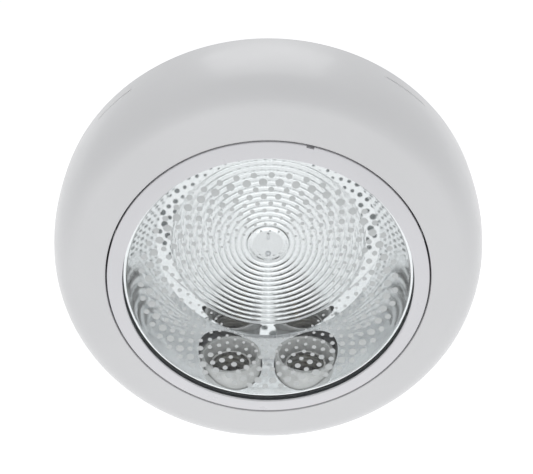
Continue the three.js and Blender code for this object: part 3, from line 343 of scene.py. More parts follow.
def relief(tree, shader, source, height):
    """Bumps of that height in metres where the source is high."""
    bump = add_node(tree, "ShaderNodeBump", {"Distance": height, "Strength": 1.0})
    tree.links.new(source, bump.inputs["Height"])
    tree.links.new(bump.outputs["Normal"], shader.inputs["Normal"])


def paint_finish(name, dark, light, gloss):
    """Sprayed gloss enamel: nearly even in colour, with a faint orange peel of about 2 mm and
    slight patches of higher and lower gloss."""
    finish, tree, shader = new_finish(name)
    tree.links.new(tinted(tree, grain(tree, 14), dark, light), shader.inputs["Base Color"])
    tree.links.new(spread(tree, grain(tree, 60), gloss - 0.03, gloss + 0.04),
                   shader.inputs["Roughness"])
    relief(tree, shader, grain(tree, 420, 2.0), PEEL_DEPTH)
    shader.inputs["Coat Weight"].default_value = COAT_SHARE
    shader.inputs["Coat Roughness"].default_value = COAT_ROUGHNESS
    return finish


def stand(piece, body, slot, finish, *nodes):
    """Gives a finished piece its material, sets it on its body, and lets it stand for its CAD
    nodes. The slot argument is not used."""
    piece.data.materials.clear()
    piece.data.materials.append(finish)
    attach(piece, body)
    if nodes:
        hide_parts(*nodes)


housing_paint = paint_finish("housing_enamel", (0.63, 0.628, 0.635), (0.65, 0.648, 0.655), 0.32)
stand(housing_cover(), "housing", "housing_paint", housing_paint, "housing_shell")

# ------------------------------------------------------------------ trim ring
# The ring is die-cast, painted a slightly cooler white, and slides into the collar on its skirt.
# It rises towards the glass, and its outer edge has one small notch for a screwdriver.
RING_R = 113.1
RING_INNER_R = 102.2
RING_RISE = 2.5
RING_ROUND = 0.7
RING_BAND = 4
FACE_ROUND = 0.75
INSIDE_ROUND = 0.3
RING_STEP = math.radians(1.4)
SKIRT_INNER_R = 111.5
SEAT_R = 106.02
SEAT_H = 70.6
BODY_BACK_H = 68.6
NOTCH_CLOCK = 14.0
NOTCH_WIDTH = 5.2
NOTCH_DEPTH = 1.3
NOTCH_H = 64.0


def closed_grid(name, grid, sharp=SHARP_ABOVE):
    """A piece from a grid of points that closes on itself both ways."""
    faces = quads(*grid.shape[:2], True, True).reshape(-1, 4).tolist()
    return skin(name, grid, faces, sharp)


def trim_band():
    """The section of the ring carried round the light. Over the notch every point outside it is
    drawn in to the notch's floor, and the same turn appears twice at each end, as its walls."""
    crown_h = FRONT_H + RING_RISE * (RING_R - RING_INNER_R - RING_ROUND) / (RING_R - RING_INNER_R)
    face = eased([[RING_R, FRONT_H - RING_BAND], [RING_R, FRONT_H - 0.1],
                  [RING_INNER_R, crown_h + 0.05], [RING_INNER_R, SEAT_H]],
                 FACE_ROUND, 6, closed=False)
    inside = eased([[SEAT_R, SEAT_H], [SEAT_R, BODY_BACK_H], [SKIRT_INNER_R, BODY_BACK_H],
                    [SKIRT_INNER_R, COLLAR_BACK_H], [RING_R, COLLAR_BACK_H]],
                   INSIDE_ROUND, 3, closed=False)
    near = np.linspace([RING_R, COLLAR_BACK_H], [RING_R, FRONT_H - RING_BAND], 4)[1:-1]
    profile = np.concatenate([face, inside, near])
    drawn = profile.copy()
    over = (drawn[:, 0] > RING_R - NOTCH_DEPTH) & (drawn[:, 1] > NOTCH_H)
    drawn[over, 0] = RING_R - NOTCH_DEPTH
    middle = math.radians(90 - NOTCH_CLOCK)
    half = NOTCH_WIDTH / 2 / RING_R
    turns = turns_with([middle - half, middle + half], RING_STEP)
    gap = np.abs((turns - middle + math.pi) % (2 * math.pi) - math.pi)
    plain, cut = about_light(profile, turns), about_light(drawn, turns)
    columns = []
    for k in np.argsort(turns):
        if gap[k] > half + ON_LINE:
            columns.append(plain[k])
        elif gap[k] < half - ON_LINE:
            columns.append(cut[k])
        elif turns[k] < middle:
            columns += [plain[k], cut[k]]
        else:
            columns += [cut[k], plain[k]]
    return closed_grid("trim_band", np.stack(columns))


trim_paint = paint_finish("trim_enamel", (0.655, 0.65, 0.67), (0.675, 0.67, 0.69), 0.3)
stand(trim_band(), "trim", "trim_paint", trim_paint, "trim_ring")

# ------------------------------------------------------------------ glass
# The pane is a disc of 3 mm toughened float glass with ground edges. It lets the reflector show,
# mirrors a little of the studio, and its edge is faintly green.
PANE_R = 104.8
PANE_BACK_H = 66.96
PANE_FRONT_H = 69.96
PANE_EDGE_BAND = 9
GROUND_EDGE = 0.35
MIRROR_LEAST = 0.025
MIRROR_RISE = 5.0


def full_turns(count):
    """That many angles, evenly all the way round."""
    return np.linspace(0, 2 * math.pi, count, endpoint=False)


def turned_piece(name, profile, count):
    """A closed profile in mm carried round the axis of the light; points on the axis merge."""
    return closed_grid(name, about_light(profile, full_turns(count)))


def glass_finish():
    """Clear glass as a thin pane: what is behind shows unbent, and the share that is mirrored
    grows from the least share as the slant to the rise-th power, up to all at grazing angles."""
    finish, tree, shader = new_finish("clear_float_glass")
    tree.nodes.remove(shader)
    through = add_node(tree, "ShaderNodeBsdfTransparent")
    tree.links.new(tinted(tree, grain(tree, 9), (0.983, 0.991, 0.991), (0.991, 0.996, 0.997)),
                   through.inputs["Color"])
    mirror = add_node(tree, "ShaderNodeBsdfAnisotropic", {"Color": (1, 1, 1, 1)})
    tree.links.new(spread(tree, grain(tree, 35), 0.02, 0.06), mirror.inputs["Roughness"])
    slant = add_node(tree, "ShaderNodeLayerWeight", {"Blend": 0.5})
    rise = add_node(tree, "ShaderNodeMath", {1: MIRROR_RISE}, operation="POWER")
    share = add_node(tree, "ShaderNodeMapRange", {"To Min": MIRROR_LEAST, "To Max": 1.0})
    both = add_node(tree, "ShaderNodeMixShader")
    tree.links.new(slant.outputs["Facing"], rise.inputs[0])
    tree.links.new(rise.outputs["Value"], share.inputs["Value"])
    tree.links.new(share.outputs["Result"], both.inputs["Fac"])
    tree.links.new(through.outputs["BSDF"], both.inputs[1])
    tree.links.new(mirror.outputs["BSDF"], both.inputs[2])
    tree.links.new(both.outputs["Shader"], tree.nodes["Material Output"].inputs["Surface"])
    return finish


pane_section = eased([[PANE_R - PANE_EDGE_BAND, PANE_BACK_H], [PANE_R, PANE_BACK_H],
                      [PANE_R, PANE_FRONT_H], [PANE_R - PANE_EDGE_BAND, PANE_FRONT_H]],
                     GROUND_EDGE, 3, closed=False)
pane_section = np.concatenate([[[0, PANE_BACK_H]], pane_section, [[0, PANE_FRONT_H]]])
stand(turned_piece("pane", pane_section, 160), "trim", "clear_glass", glass_finish(), "glass_disc")

# ------------------------------------------------------------------ printed dots
# Grey ceramic dots are screen printed on the front of the glass and fired on. They stand in
# staggered rings of 48, large outside and shrinking to points towards the middle, and near the
# edge every second ring is smaller than its neighbours.
DOTS_IN_RING = 48
PANE_TURN = math.radians(1.4)
DOT_RING_PITCH = 5.38
OUTER_DOT_RING = 89.2
DOT_RINGS = 9
DOT_SIZE = 5.7
DOT_SIZE_RING = 84
DOT_SHRINK = 1.9
SMALLER_BY = 0.32
SMALLER_FROM = 53
SMALLER_OVER = 36
DOT_LIFT = 0.004
DOT_THICKNESS = 0.02
DOT_TOP_SHARE = 0.985
DOT_SIDES = 16


def printed_dots():
    """Ring k has radius outer - k pitch, and a dot's diameter is 5.7 (ring / 84)^1.9 mm. On every
    second ring it is less by up to a third, as the ring goes from 53 mm to the outermost."""
    k = np.arange(DOT_RINGS)
    ring = OUTER_DOT_RING - k * DOT_RING_PITCH
    less = SMALLER_BY * np.clip((ring - SMALLER_FROM) / SMALLER_OVER, 0, 1) * (k % 2 == 0)
    radius = DOT_SIZE * (ring / DOT_SIZE_RING) ** DOT_SHRINK * (1 - less) / 2
    step = 2 * math.pi / DOTS_IN_RING
    turn = (np.arange(DOTS_IN_RING)[None] + 0.5 * (k % 2)[:, None]) * step
    turn = turn + math.pi / 2 - PANE_TURN
    cx, cz = ring[:, None] * np.cos(turn), ring[:, None] * np.sin(turn)
    side = full_turns(DOT_SIDES)
    low = np.stack([np.cos(side), np.zeros(DOT_SIDES), np.sin(side)], -1)
    rim = np.stack([low, low])
    rim[1] *= DOT_TOP_SHARE
    level = np.array([DOT_LIFT, DOT_LIFT + DOT_THICKNESS])
    points = np.empty((DOT_RINGS, DOTS_IN_RING, 2, DOT_SIDES, 3))
    size = radius[:, None, None, None]
    points[..., 0] = cx[..., None, None] + size * rim[None, None, :, :, 0]
    points[..., 2] = cz[..., None, None] + size * rim[None, None, :, :, 2]
    points[..., 1] = -(PANE_FRONT_H + level[None, None, :, None])
    index = np.arange(points[..., 0].size).reshape(-1, 2, DOT_SIDES)
    after = np.roll(index, -1, 2)
    sides = np.stack([index[:, 0], after[:, 0], after[:, 1], index[:, 1]], -1).reshape(-1, 4)
    faces = sides.tolist() + index[:, 1].tolist() + index[:, 0, ::-1].tolist()
    return skin("pane_dots", points * MM, faces)


def frit_finish():
    """Fired ceramic ink: matt pale grey, slightly uneven in tone."""
    finish, tree, shader = new_finish("grey_ceramic_ink")
    tree.links.new(tinted(tree, grain(tree, 55), (0.475, 0.495, 0.495), (0.52, 0.535, 0.535)),
                   shader.inputs["Base Color"])
    tree.links.new(spread(tree, grain(tree, 240), 0.5, 0.65), shader.inputs["Roughness"])
    relief(tree, shader, grain(tree, 900, 2.0), 0.000004)
    return finish


stand(printed_dots(), "trim", "clear_glass", frit_finish())

# ------------------------------------------------------------------ gasket
# A channel of black rubber pushed over the edge of the glass. Its two lips show as the thin dark
# line inside the ring. The black of its back lip, seen through the glass, is also painted shade
# that stands in for the shadowed cavity behind the pane.
GASKET_INNER_R = 102.6
GASKET_R = 105.72
GASKET_BACK_H = 66.34
GASKET_FRONT_H = 70.48
GASKET_SLIP = 0.12
LIP_ROUND = 0.12


def rubber_finish(name, dark, light):
    """Moulded rubber: matt, dusty in patches, with a fine moulding grain."""
    finish, tree, shader = new_finish(name)
    tree.links.new(tinted(tree, grain(tree, 120), dark, light), shader.inputs["Base Color"])
    tree.links.new(spread(tree, grain(tree, 300), 0.6, 0.8), shader.inputs["Roughness"])
    relief(tree, shader, grain(tree, 1500, 2.0), 0.00002)
    return finish


# Black is the seal's own colour and, on the back lip seen through the glass, painted shade.
black_rubber = rubber_finish("seal_rubber", (0.07, 0.075, 0.08), (0.11, 0.115, 0.12))
pane_edge_r = PANE_R + GASKET_SLIP
gasket_section = eased([
    [GASKET_INNER_R, GASKET_BACK_H], [GASKET_R, GASKET_BACK_H],
    [GASKET_R, GASKET_FRONT_H], [GASKET_INNER_R, GASKET_FRONT_H],
    [GASKET_INNER_R, PANE_FRONT_H + GASKET_SLIP], [pane_edge_r, PANE_FRONT_H + GASKET_SLIP],
    [pane_edge_r, PANE_BACK_H - GASKET_SLIP], [GASKET_INNER_R, PANE_BACK_H - GASKET_SLIP],
], LIP_ROUND, 3)
stand(turned_piece("pane_seal", gasket_section, 220), "trim", "gasket_rubber", black_rubber,
      "glass_gasket")

# ------------------------------------------------------------------ glass clips and trim springs
# Three steel clips screwed to bosses in the ring hold the glass and its gasket from behind, and
# four leaf springs of blued steel hold the ring in the collar.
DRAWN_DEPTH = 0.000006
CLIPS = ("1", "2", "3")
TRIM_SPRINGS = ("1", "2", "3", "4")


def steel_finish(name, dark, light, low, high, stretch=(1, 1, 1), scale=90.0):
    """Bright metal with patches of duller plating and fine drawing lines."""
    finish, tree, shader = new_finish(name)
    tree.links.new(tinted(tree, grain(tree, scale), dark, light), shader.inputs["Base Color"])
    tree.links.new(spread(tree, grain(tree, scale * 4, 4.0, stretch), low, high),
                   shader.inputs["Roughness"])
    relief(tree, shader, grain(tree, scale * 9, 3.0, stretch), DRAWN_DEPTH)
    shader.inputs["Metallic"].default_value = 1.0
    return finish


def wear(finish, *nodes):
    """Puts the finish on CAD nodes that keep their shape."""
    for name in nodes:
        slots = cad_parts[name].data.materials
        slots.clear()
        slots.append(finish)


plated_steel = steel_finish("zinc_plated_steel", (0.60, 0.61, 0.62), (0.72, 0.73, 0.74),
                            0.25, 0.42)
screw_steel = steel_finish("bright_screw_steel", (0.55, 0.56, 0.58), (0.7, 0.71, 0.73), 0.2, 0.35,
                           scale=240.0)
spring_steel = steel_finish("spring_steel", (0.42, 0.43, 0.46), (0.55, 0.56, 0.6), 0.22, 0.36,
                            (1, 8, 1))
wear(plated_steel, *[f"glass_clip_{k}" for k in CLIPS])
wear(screw_steel, *[f"clip_screw_{k}" for k in CLIPS])
wear(spring_steel, *[f"trim_spring_{k}" for k in TRIM_SPRINGS])

# ------------------------------------------------------------------ reflector wall
# A cone spun from bright aluminium with a narrow flange at its rim. Two round holes are cut in
# its lower side for the lampholders, with a narrow bridge of metal left between them.
RIM_R = 100.2
RIM_H = 66.75
WALL_TOP_H = 66.0
RIM_ROLL = 1.3
FLANGE_R = 102.2
CONE_BACK_R = 83.4
CONE_BACK_H = 15.0
SHEET_WALL = 0.8
HOLE_R = 24.3
LAMP_X = 28.8
LAMP_H = 41.4
PATCH_EDGE = math.radians(40)
PATCH_COLUMNS = 28
PATCH_RINGS = 11
PLAIN_COLUMNS = 201
WALL_ROWS = 26
ROLL_POINTS = 9
# Inside this edge the reflector's colour is darkened as painted shade.
MIDDLE_SHADE_EDGE = (0.011, 0.0125)  # metres from the axis
TOOL_MARKS = 900.0  # per metre


def cone_r(height):
    """Radius of the wall: a straight line in height from its back edge to its rim."""
    return CONE_BACK_R + (height - CONE_BACK_H) / (RIM_H - CONE_BACK_H) * (RIM_R - CONE_BACK_R)


def on_cone(side, height, radius=None):
    """Points of the wall from the angle side, measured from the bottom, and the height."""
    r = cone_r(height) if radius is None else radius
    return np.stack([r * np.sin(side), -height + 0 * side, -r * np.cos(side)], -1) * MM


def hole_patch():
    """A patch of the wall round the right-hand hole, as (side, height) pairs. Its frame is the
    rectangle from the bottom line to the patch edge; each of its rings is (1 - s) times the edge
    of the hole plus s times the frame, so it closes in on a true circle seen from below."""
    across = np.linspace(0, PATCH_EDGE, PATCH_COLUMNS + 1)
    up = np.linspace(CONE_BACK_H, WALL_TOP_H, WALL_ROWS + 1)
    border = np.concatenate([
        np.stack([across[:-1], np.full(PATCH_COLUMNS, up[0])], -1),
        np.stack([np.full(WALL_ROWS, PATCH_EDGE), up[:-1]], -1),
        np.stack([across[:0:-1], np.full(PATCH_COLUMNS, up[-1])], -1),
        np.stack([np.zeros(WALL_ROWS), up[:0:-1]], -1),
    ])
    middle = math.asin(LAMP_X / cone_r(LAMP_H))
    aim = np.arctan2(border[:, 1] - LAMP_H, cone_r(LAMP_H) * (border[:, 0] - middle))
    height = LAMP_H + HOLE_R * np.sin(aim)
    side = np.arcsin((LAMP_X + HOLE_R * np.cos(aim)) / cone_r(height))
    edge = np.stack([side, height], -1)
    s = np.linspace(0, 1, PATCH_RINGS)[:, None, None]
    return (1 - s) * edge + s * border


def joined(name, parts, sharp=SHARP_ABOVE):
    """One piece from several grids, each given with whether its rows and its columns wrap."""
    points, faces, start = [], [], 0
    for grid, wrap_rows, wrap_columns in parts:
        points.append(grid.reshape(-1, 3))
        faces.append(quads(*grid.shape[:2], wrap_rows, wrap_columns).reshape(-1, 4) + start)
        start += len(points[-1])
    return skin(name, np.concatenate(points), np.concatenate(faces).tolist(), sharp)


def reflector_wall():
    """The cone: a plain grid away from the holes, one patch round each hole, and the flange, which
    starts with the curve (1-t)^2 A + 2t(1-t) P + t^2 B. The sheet's thickness is added behind."""
    patch = hole_patch()
    right = on_cone(patch[..., 0], patch[..., 1])
    left = on_cone(-patch[..., 0], patch[..., 1])
    rows = np.linspace(CONE_BACK_H, WALL_TOP_H, WALL_ROWS + 1)
    sides = np.linspace(PATCH_EDGE, 2 * math.pi - PATCH_EDGE, PLAIN_COLUMNS)
    plain = on_cone(sides[:, None] + 0 * rows, rows[None] + 0 * sides[:, None])
    across = np.linspace(0, PATCH_EDGE, PATCH_COLUMNS + 1)
    round_all = np.concatenate([across, sides[1:], 2 * math.pi - across[::-1][1:-1]])
    t = np.linspace(0, 1, ROLL_POINTS)
    steps = ((1 - t) ** 2 * cone_r(WALL_TOP_H) + 2 * t * (1 - t) * RIM_R
             + t ** 2 * (RIM_R + RIM_ROLL))
    lift = (1 - t) ** 2 * WALL_TOP_H + (1 - (1 - t) ** 2) * RIM_H
    steps, lift = np.append(steps, FLANGE_R), np.append(lift, RIM_H)
    flange = on_cone(round_all[:, None] + 0 * steps, lift[None] + 0 * round_all[:, None],
                     steps[None])
    piece = joined("reflector_wall", [(right, False, True), (left, False, True),
                                      (plain, False, False), (flange, True, False)])
    return thickened(piece, SHEET_WALL)


def thickened(piece, wall):
    """Faces the open surface towards the axis and adds the wall behind it, then settles the
    modifier into the mesh."""
    first = piece.data.polygons[0]
    axis = Vector((0, first.center.y, 0))
    if first.normal.dot(axis - first.center) < 0:
        piece.data.flip_normals()
    solid = piece.modifiers.new("wall", "SOLIDIFY")
    solid.thickness = wall * MM
    solid.offset = -1
    solid.use_even_offset = True
    settled = bpy.data.meshes.new_from_object(
        piece.evaluated_get(bpy.context.evaluated_depsgraph_get()))
    piece.modifiers.clear()
    settled.shade_smooth()
    settled.set_sharp_from_angle(angle=math.radians(SHARP_ABOVE))
    piece.data = settled
    return piece


def multiplied(tree, first, second):
    """The product of two colours."""
    both = add_node(tree, "ShaderNodeMix", {0: 1.0}, data_type="RGBA", blend_type="MULTIPLY")
    tree.links.new(first, both.inputs[6])
    tree.links.new(second, both.inputs[7])
    return both.outputs[2]


def aluminium_finish(name, level, rough_low, rough_high, marks, middle=1.0):
    """Bright-dipped aluminium: mirror-like, with faint rings from the spinning tool, worked out
    from the distance to the axis of the light, and light patches of haze. Inside the middle's
    edge its colour is multiplied by the share middle, as painted shade that darkens what the
    middle of the disc mirrors."""
    finish, tree, shader = new_finish(name)
    haze = grain(tree, 22)
    metal = tinted(tree, haze, (level - 0.03, level - 0.02, level - 0.015),
                   (level, level + 0.008, level + 0.012))
    tree.links.new(spread(tree, haze, rough_low, rough_high), shader.inputs["Roughness"])
    place = add_node(tree, "ShaderNodeTexCoord")
    flat = add_node(tree, "ShaderNodeVectorMath", {1: (1, 0, 1)}, operation="MULTIPLY")
    away = add_node(tree, "ShaderNodeVectorMath", operation="LENGTH")
    rings = add_node(tree, "ShaderNodeTexNoise", {"Scale": TOOL_MARKS, "Detail": 3.0},
                     noise_dimensions="1D")
    tree.links.new(place.outputs["Object"], flat.inputs[0])
    tree.links.new(flat.outputs["Vector"], away.inputs[0])
    tree.links.new(away.outputs["Value"], rings.inputs["W"])
    # Painted shade: the colour is multiplied down inside the middle's edge.
    middle_painted_shade = tinted(tree, spread(tree, away.outputs["Value"], 0.0, 1.0, *MIDDLE_SHADE_EDGE),
                  (middle, middle, middle), (1, 1, 1), 0.0, 1.0)
    tree.links.new(multiplied(tree, metal, middle_painted_shade), shader.inputs["Base Color"])
    relief(tree, shader, rings.outputs["Fac"], marks)
    shader.inputs["Metallic"].default_value = 1.0
    return finish


wall_aluminium = aluminium_finish("spun_aluminium", 0.905, 0.05, 0.09, 0.000002)
stand(reflector_wall(), "base", "reflector_aluminium", wall_aluminium, "reflector_cone")

# ------------------------------------------------------------------ reflector back
# The back of the reflector is a pressed aluminium disc: a plain middle, thirteen rounded rings
# pressed round it, and a smooth flat edge that reaches behind the end of the cone.
DISC_R = 84.6
DISC_FRONT_H = 14.7
DISC_MIDDLE_H = 13.7
RIBS_OUTER_R = 72.0
RIBS_INNER_R = 16.2
RIB_COUNT = 13
RIB_HEIGHT = 0.48
RIB_SAMPLES = 10
RIB_SHARP = 24.0
MIDDLE_R = 11.6
DIP_R = 15.4
DIP_DEPTH = 0.6
DIP_POINTS = 13
STEP_BACK = 0.8
STEP_ROUND = 0.25
STEP_POINTS = 3
DISC_TURNS = 200
TAB_UP = 7.5
SLOT_HALF_W = 1.0
SLOT_HALF_L = 2.9
SLOT_SQUARENESS = 0.4
SLOT_RINGS = 10


def middle_patch(turns, height):
    """Rings of points between the slot for the tab and the circle where the turned part begins:
    (1 - s) slot + s circle, s from 0 to 1. The slot's edge is a rounded oblong, half width times
    |cos|^k across and half length times |sin|^k along, with k its squareness."""
    circle = np.stack([np.cos(turns), np.sin(turns)], -1) * MIDDLE_R
    aim = np.arctan2(circle[:, 1] - TAB_UP, circle[:, 0])
    c, v = np.cos(aim), np.sin(aim)
    slot = np.stack([SLOT_HALF_W * np.sign(c) * np.abs(c) ** SLOT_SQUARENESS,
                     TAB_UP + SLOT_HALF_L * np.sign(v) * np.abs(v) ** SLOT_SQUARENESS], -1)
    s = np.linspace(0, 1, SLOT_RINGS)[:, None, None]
    flat = (1 - s) * slot + s * circle
    return np.stack([flat[..., 0], np.full(flat.shape[:2], -height), flat[..., 1]], -1) * MM


def reflector_back():
    """Outside the plain middle: a dip of dip (1 - cos) / 2 round its edge, then ribs whose height
    is base + h (1 - (2f - 1)^2) with f the place within the rib, then a step up to the smooth
    edge; behind it the plain back. The middle is closed by a patch in front and one behind."""
    f = np.arange(RIB_COUNT * RIB_SAMPLES + 1) / RIB_SAMPLES
    r = RIBS_INNER_R + f * (RIBS_OUTER_R - RIBS_INNER_R) / RIB_COUNT
    ribs = np.stack([r, DISC_MIDDLE_H + RIB_HEIGHT * (1 - (2 * (f % 1) - 1) ** 2)], -1)
    d = np.linspace(0, 1, DIP_POINTS)
    dip = np.stack([MIDDLE_R + d * (DIP_R - MIDDLE_R),
                    DISC_MIDDLE_H - DIP_DEPTH * (1 - np.cos(math.pi * d)) / 2], -1)
    edge = eased([[RIBS_OUTER_R, DISC_MIDDLE_H], [RIBS_OUTER_R + 0.3, DISC_FRONT_H - 0.05],
                  [RIBS_OUTER_R + 1.2, DISC_FRONT_H], [DISC_R, DISC_FRONT_H]],
                 STEP_ROUND, STEP_POINTS, closed=False)[STEP_POINTS + 1:]
    behind_h = DISC_MIDDLE_H - SHEET_WALL
    back = [[DISC_R, DISC_FRONT_H - SHEET_WALL],
            [RIBS_OUTER_R + STEP_BACK, DISC_FRONT_H - SHEET_WALL],
            [RIBS_OUTER_R + STEP_BACK, behind_h], [MIDDLE_R, behind_h]]
    turns = full_turns(DISC_TURNS)
    turned = about_light(np.concatenate([dip, ribs, edge, back]), turns)
    front, behind = middle_patch(turns, DISC_MIDDLE_H), middle_patch(turns, behind_h)
    slot_wall = np.stack([front[0], behind[0]])
    return joined("reflector_back", [(turned, True, False), (front, False, True),
                                     (behind, False, True), (slot_wall, False, True)], RIB_SHARP)


# The share 0.86 darkens the plain middle of the disc as painted shade.
back_aluminium = aluminium_finish("pressed_aluminium", 0.79, 0.035, 0.06, 0.000001, 0.86)
stand(reflector_back(), "base", "reflector_aluminium", back_aluminium, "reflector_top")

# ------------------------------------------------------------------ reflector fixing
# A hat-shaped bracket of plated steel on the back plate carries the reflector: one screw below
# the middle holds it, and a tab above the middle stops it turning.
HEAD_ROWS = 12
SHANK_SHARE = 0.5
HEAD_EDGE = 0.1
SHANK_END = 0.3
SCREW_TURNS = 48


def domed_screw(name, node):
    """A domed head on a shank, in the box of the node. The head's height above its seat falls as
    rise (1 - (r / head radius)^2)^0.5 towards its edge."""
    low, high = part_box(node)
    head_r = (high.x - low.x) / 2 / MM
    up = (low.z + high.z) / 2
    front, back = -low.y / MM, -high.y / MM
    r = head_r * np.sin(np.linspace(0, math.pi / 2, HEAD_ROWS))
    dome = np.stack([r, DISC_MIDDLE_H + HEAD_EDGE + (front - DISC_MIDDLE_H - HEAD_EDGE)
                     * np.sqrt(np.clip(1 - (r / head_r) ** 2, 0, 1))], -1)
    shank = SHANK_SHARE * head_r
    rest = [[head_r, DISC_MIDDLE_H], [shank, DISC_MIDDLE_H], [shank, back + SHANK_END],
            [shank - SHANK_END, back], [0, back]]
    grid = about_light(np.concatenate([dome, rest]), full_turns(SCREW_TURNS))
    grid[..., 2] += up
    return closed_grid(name, grid)


wear(plated_steel, "reflector_bracket")
stand(domed_screw("fixing_screw", "reflector_screw"), "base", "screw_steel", screw_steel,
      "reflector_screw")

# ------------------------------------------------------------------ lampholders
# Two E27 holders side by side, mouths up. Each has a moulded skirt with a deep recess, a ceramic
# core, a rolled screw shell, a sprung brass contact in its floor, and a moulded rear cap.
SKIRT_BORE_R = 20.2
SKIRT_LENGTH = 20.0
SKIRT_FLOOR = 2.5
SKIRT_ROUND = 0.8
CORE_R = 15.6
CORE_BORE_R = 14.3
CORE_FLOOR = 5.0
CORE_ROUND = 0.35
CONTACT_SHANK_R = 1.4
FIT_GAP = 0.3
THREAD_R = 13.3
THREAD_DEPTH = 0.5
THREAD_PITCH = 3.63
THREAD_TURNS = 3
THREAD_WALL = 0.25
THREAD_FADE = 0.3
THREAD_POINTS = 73
THREAD_SHARP = 40.0
# Depths over which the painted shade of the bore gives way to the pale rim.
BORE_SHADE_ENDS = (0.0006, 0.0003)  # metres below the rim
HOLDER_TURNS = 96
CAP_TURNS = 72
CAP_R = 17.4
CAP_WALL = 1.3
CAP_LENGTH = 27.0
CAP_ROUND = 6.0


def upright_piece(name, profile, seat, count=HOLDER_TURNS):
    """A closed profile of (radius, height) in mm carried round the upright axis of a holder:
    x = seat x + r cos a, y = seat y + r sin a, z = seat z + h."""
    profile = np.asarray(profile, float) * MM
    a = full_turns(count)[:, None]
    r, h = profile[:, 0][None], profile[:, 1][None]
    grid = np.stack([seat.x + r * np.cos(a), seat.y + r * np.sin(a), seat.z + h + 0 * a], -1)
    return closed_grid(name, grid)


def screw_shell(name, seat, start):
    """Rolled sleeve whose radius follows the thread: crest + depth (1 - cos(2 pi (h / pitch +
    a / turn))) / 2, faded out at both ends, with the sheet's thickness outside it."""
    length = THREAD_TURNS * THREAD_PITCH
    h = np.linspace(0, length, THREAD_POINTS)[None]
    a = full_turns(HOLDER_TURNS)[:, None]
    fade = np.clip(np.minimum(h, length - h) / (THREAD_FADE * THREAD_PITCH), 0, 1)
    wave = (1 - np.cos(2 * math.pi * h / THREAD_PITCH + a)) / 2
    inner = THREAD_R + THREAD_DEPTH * (fade * wave + (1 - fade))
    r = np.concatenate([inner, (inner + THREAD_WALL)[:, ::-1]], 1) * MM
    z = seat.z - (start + np.concatenate([h, h[:, ::-1]], 1)) * MM
    grid = np.stack([seat.x + r * np.cos(a), seat.y + r * np.sin(a), z + 0 * a], -1)
    return closed_grid(name, grid, THREAD_SHARP)


def moulded_finish(name, dark, light, low, high):
    """Moulded thermoset: even colour with faint flow clouds and a slightly soft gloss."""
    finish, tree, shader = new_finish(name)
    tree.links.new(tinted(tree, grain(tree, 45), dark, light), shader.inputs["Base Color"])
    tree.links.new(spread(tree, grain(tree, 180), low, high), shader.inputs["Roughness"])
    relief(tree, shader, grain(tree, 700, 2.0), 0.00001)
    return finish


holder_plastic = moulded_finish("holder_plastic", (0.66, 0.66, 0.65), (0.72, 0.72, 0.71), 0.35, 0.5)


def core_with_painted_bore_shade(rim_height):
    """Porcelain with a pale rim and a dark brown bore: the dark brown is painted shade of the deep
    recess. The colour goes from one to the other between two depths just below the rim, and
    both are slightly clouded."""
    finish, tree, shader = new_finish("holder_ceramic")
    cloud = grain(tree, 70)
    # Painted shade: the bore is coloured near black, as the deep recess lies in shade.
    bore = tinted(tree, cloud, (0.10, 0.095, 0.09), (0.15, 0.14, 0.13))
    pale_rim = tinted(tree, cloud, (0.74, 0.73, 0.71), (0.82, 0.81, 0.79))
    place = add_node(tree, "ShaderNodeTexCoord")
    split = add_node(tree, "ShaderNodeSeparateXYZ")
    edge = add_node(tree, "ShaderNodeMapRange", {"From Min": rim_height - BORE_SHADE_ENDS[0],
                                                 "From Max": rim_height - BORE_SHADE_ENDS[1]})
    both = add_node(tree, "ShaderNodeMix", data_type="RGBA")
    tree.links.new(place.outputs["Object"], split.inputs["Vector"])
    tree.links.new(split.outputs["Z"], edge.inputs["Value"])
    tree.links.new(edge.outputs["Result"], both.inputs[0])
    tree.links.new(bore, both.inputs[6])
    tree.links.new(pale_rim, both.inputs[7])
    tree.links.new(both.outputs[2], shader.inputs["Base Color"])
    tree.links.new(spread(tree, grain(tree, 200), 0.2, 0.32), shader.inputs["Roughness"])
    return finish


# The core's bore carries painted shade.
ceramic = core_with_painted_bore_shade(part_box("lampholder_core_left")[1].z)
nickel = steel_finish("nickel_plate", (0.70, 0.69, 0.66), (0.82, 0.81, 0.78), 0.3, 0.45,
                      scale=260.0)
brass = steel_finish("brass", (0.62, 0.43, 0.16), (0.78, 0.58, 0.26), 0.22, 0.36, scale=260.0)

skirt_low, skirt_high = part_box("lampholder_skirt_left")
core_low, core_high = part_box("lampholder_core_left")
skirt_r = (skirt_high.x - skirt_low.x) / 2 / MM
core_rim = (core_high.z - skirt_high.z) / MM
core_back = (core_low.z - skirt_high.z) / MM
thread_start = (skirt_high.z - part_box("screw_shell_left")[1].z) / MM
skirt_section = eased([
    [SKIRT_BORE_R, 0], [SKIRT_BORE_R, SKIRT_FLOOR - SKIRT_LENGTH],
    [CORE_R + FIT_GAP, SKIRT_FLOOR - SKIRT_LENGTH], [CORE_R + FIT_GAP, -SKIRT_LENGTH],
    [skirt_r, -SKIRT_LENGTH], [skirt_r, 0]], SKIRT_ROUND, 4)
core_section = eased([
    [CORE_BORE_R, core_rim], [CORE_R, core_rim], [CORE_R, core_back],
    [CONTACT_SHANK_R + FIT_GAP, core_back], [CONTACT_SHANK_R + FIT_GAP, core_back + CORE_FLOOR],
    [CORE_BORE_R, core_back + CORE_FLOOR]], CORE_ROUND, 3)
cap_top = (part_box("lampholder_cap_left")[1].z - skirt_high.z) / MM
cap_section = eased(np.array([
    [CAP_R - CAP_WALL, 0], [CAP_R, 0], [CAP_R, -CAP_LENGTH], [0, -CAP_LENGTH],
    [0, CAP_WALL - CAP_LENGTH], [CAP_R - CAP_WALL, CAP_WALL - CAP_LENGTH]])
    + [0, cap_top], CAP_ROUND, 8, closed=False)

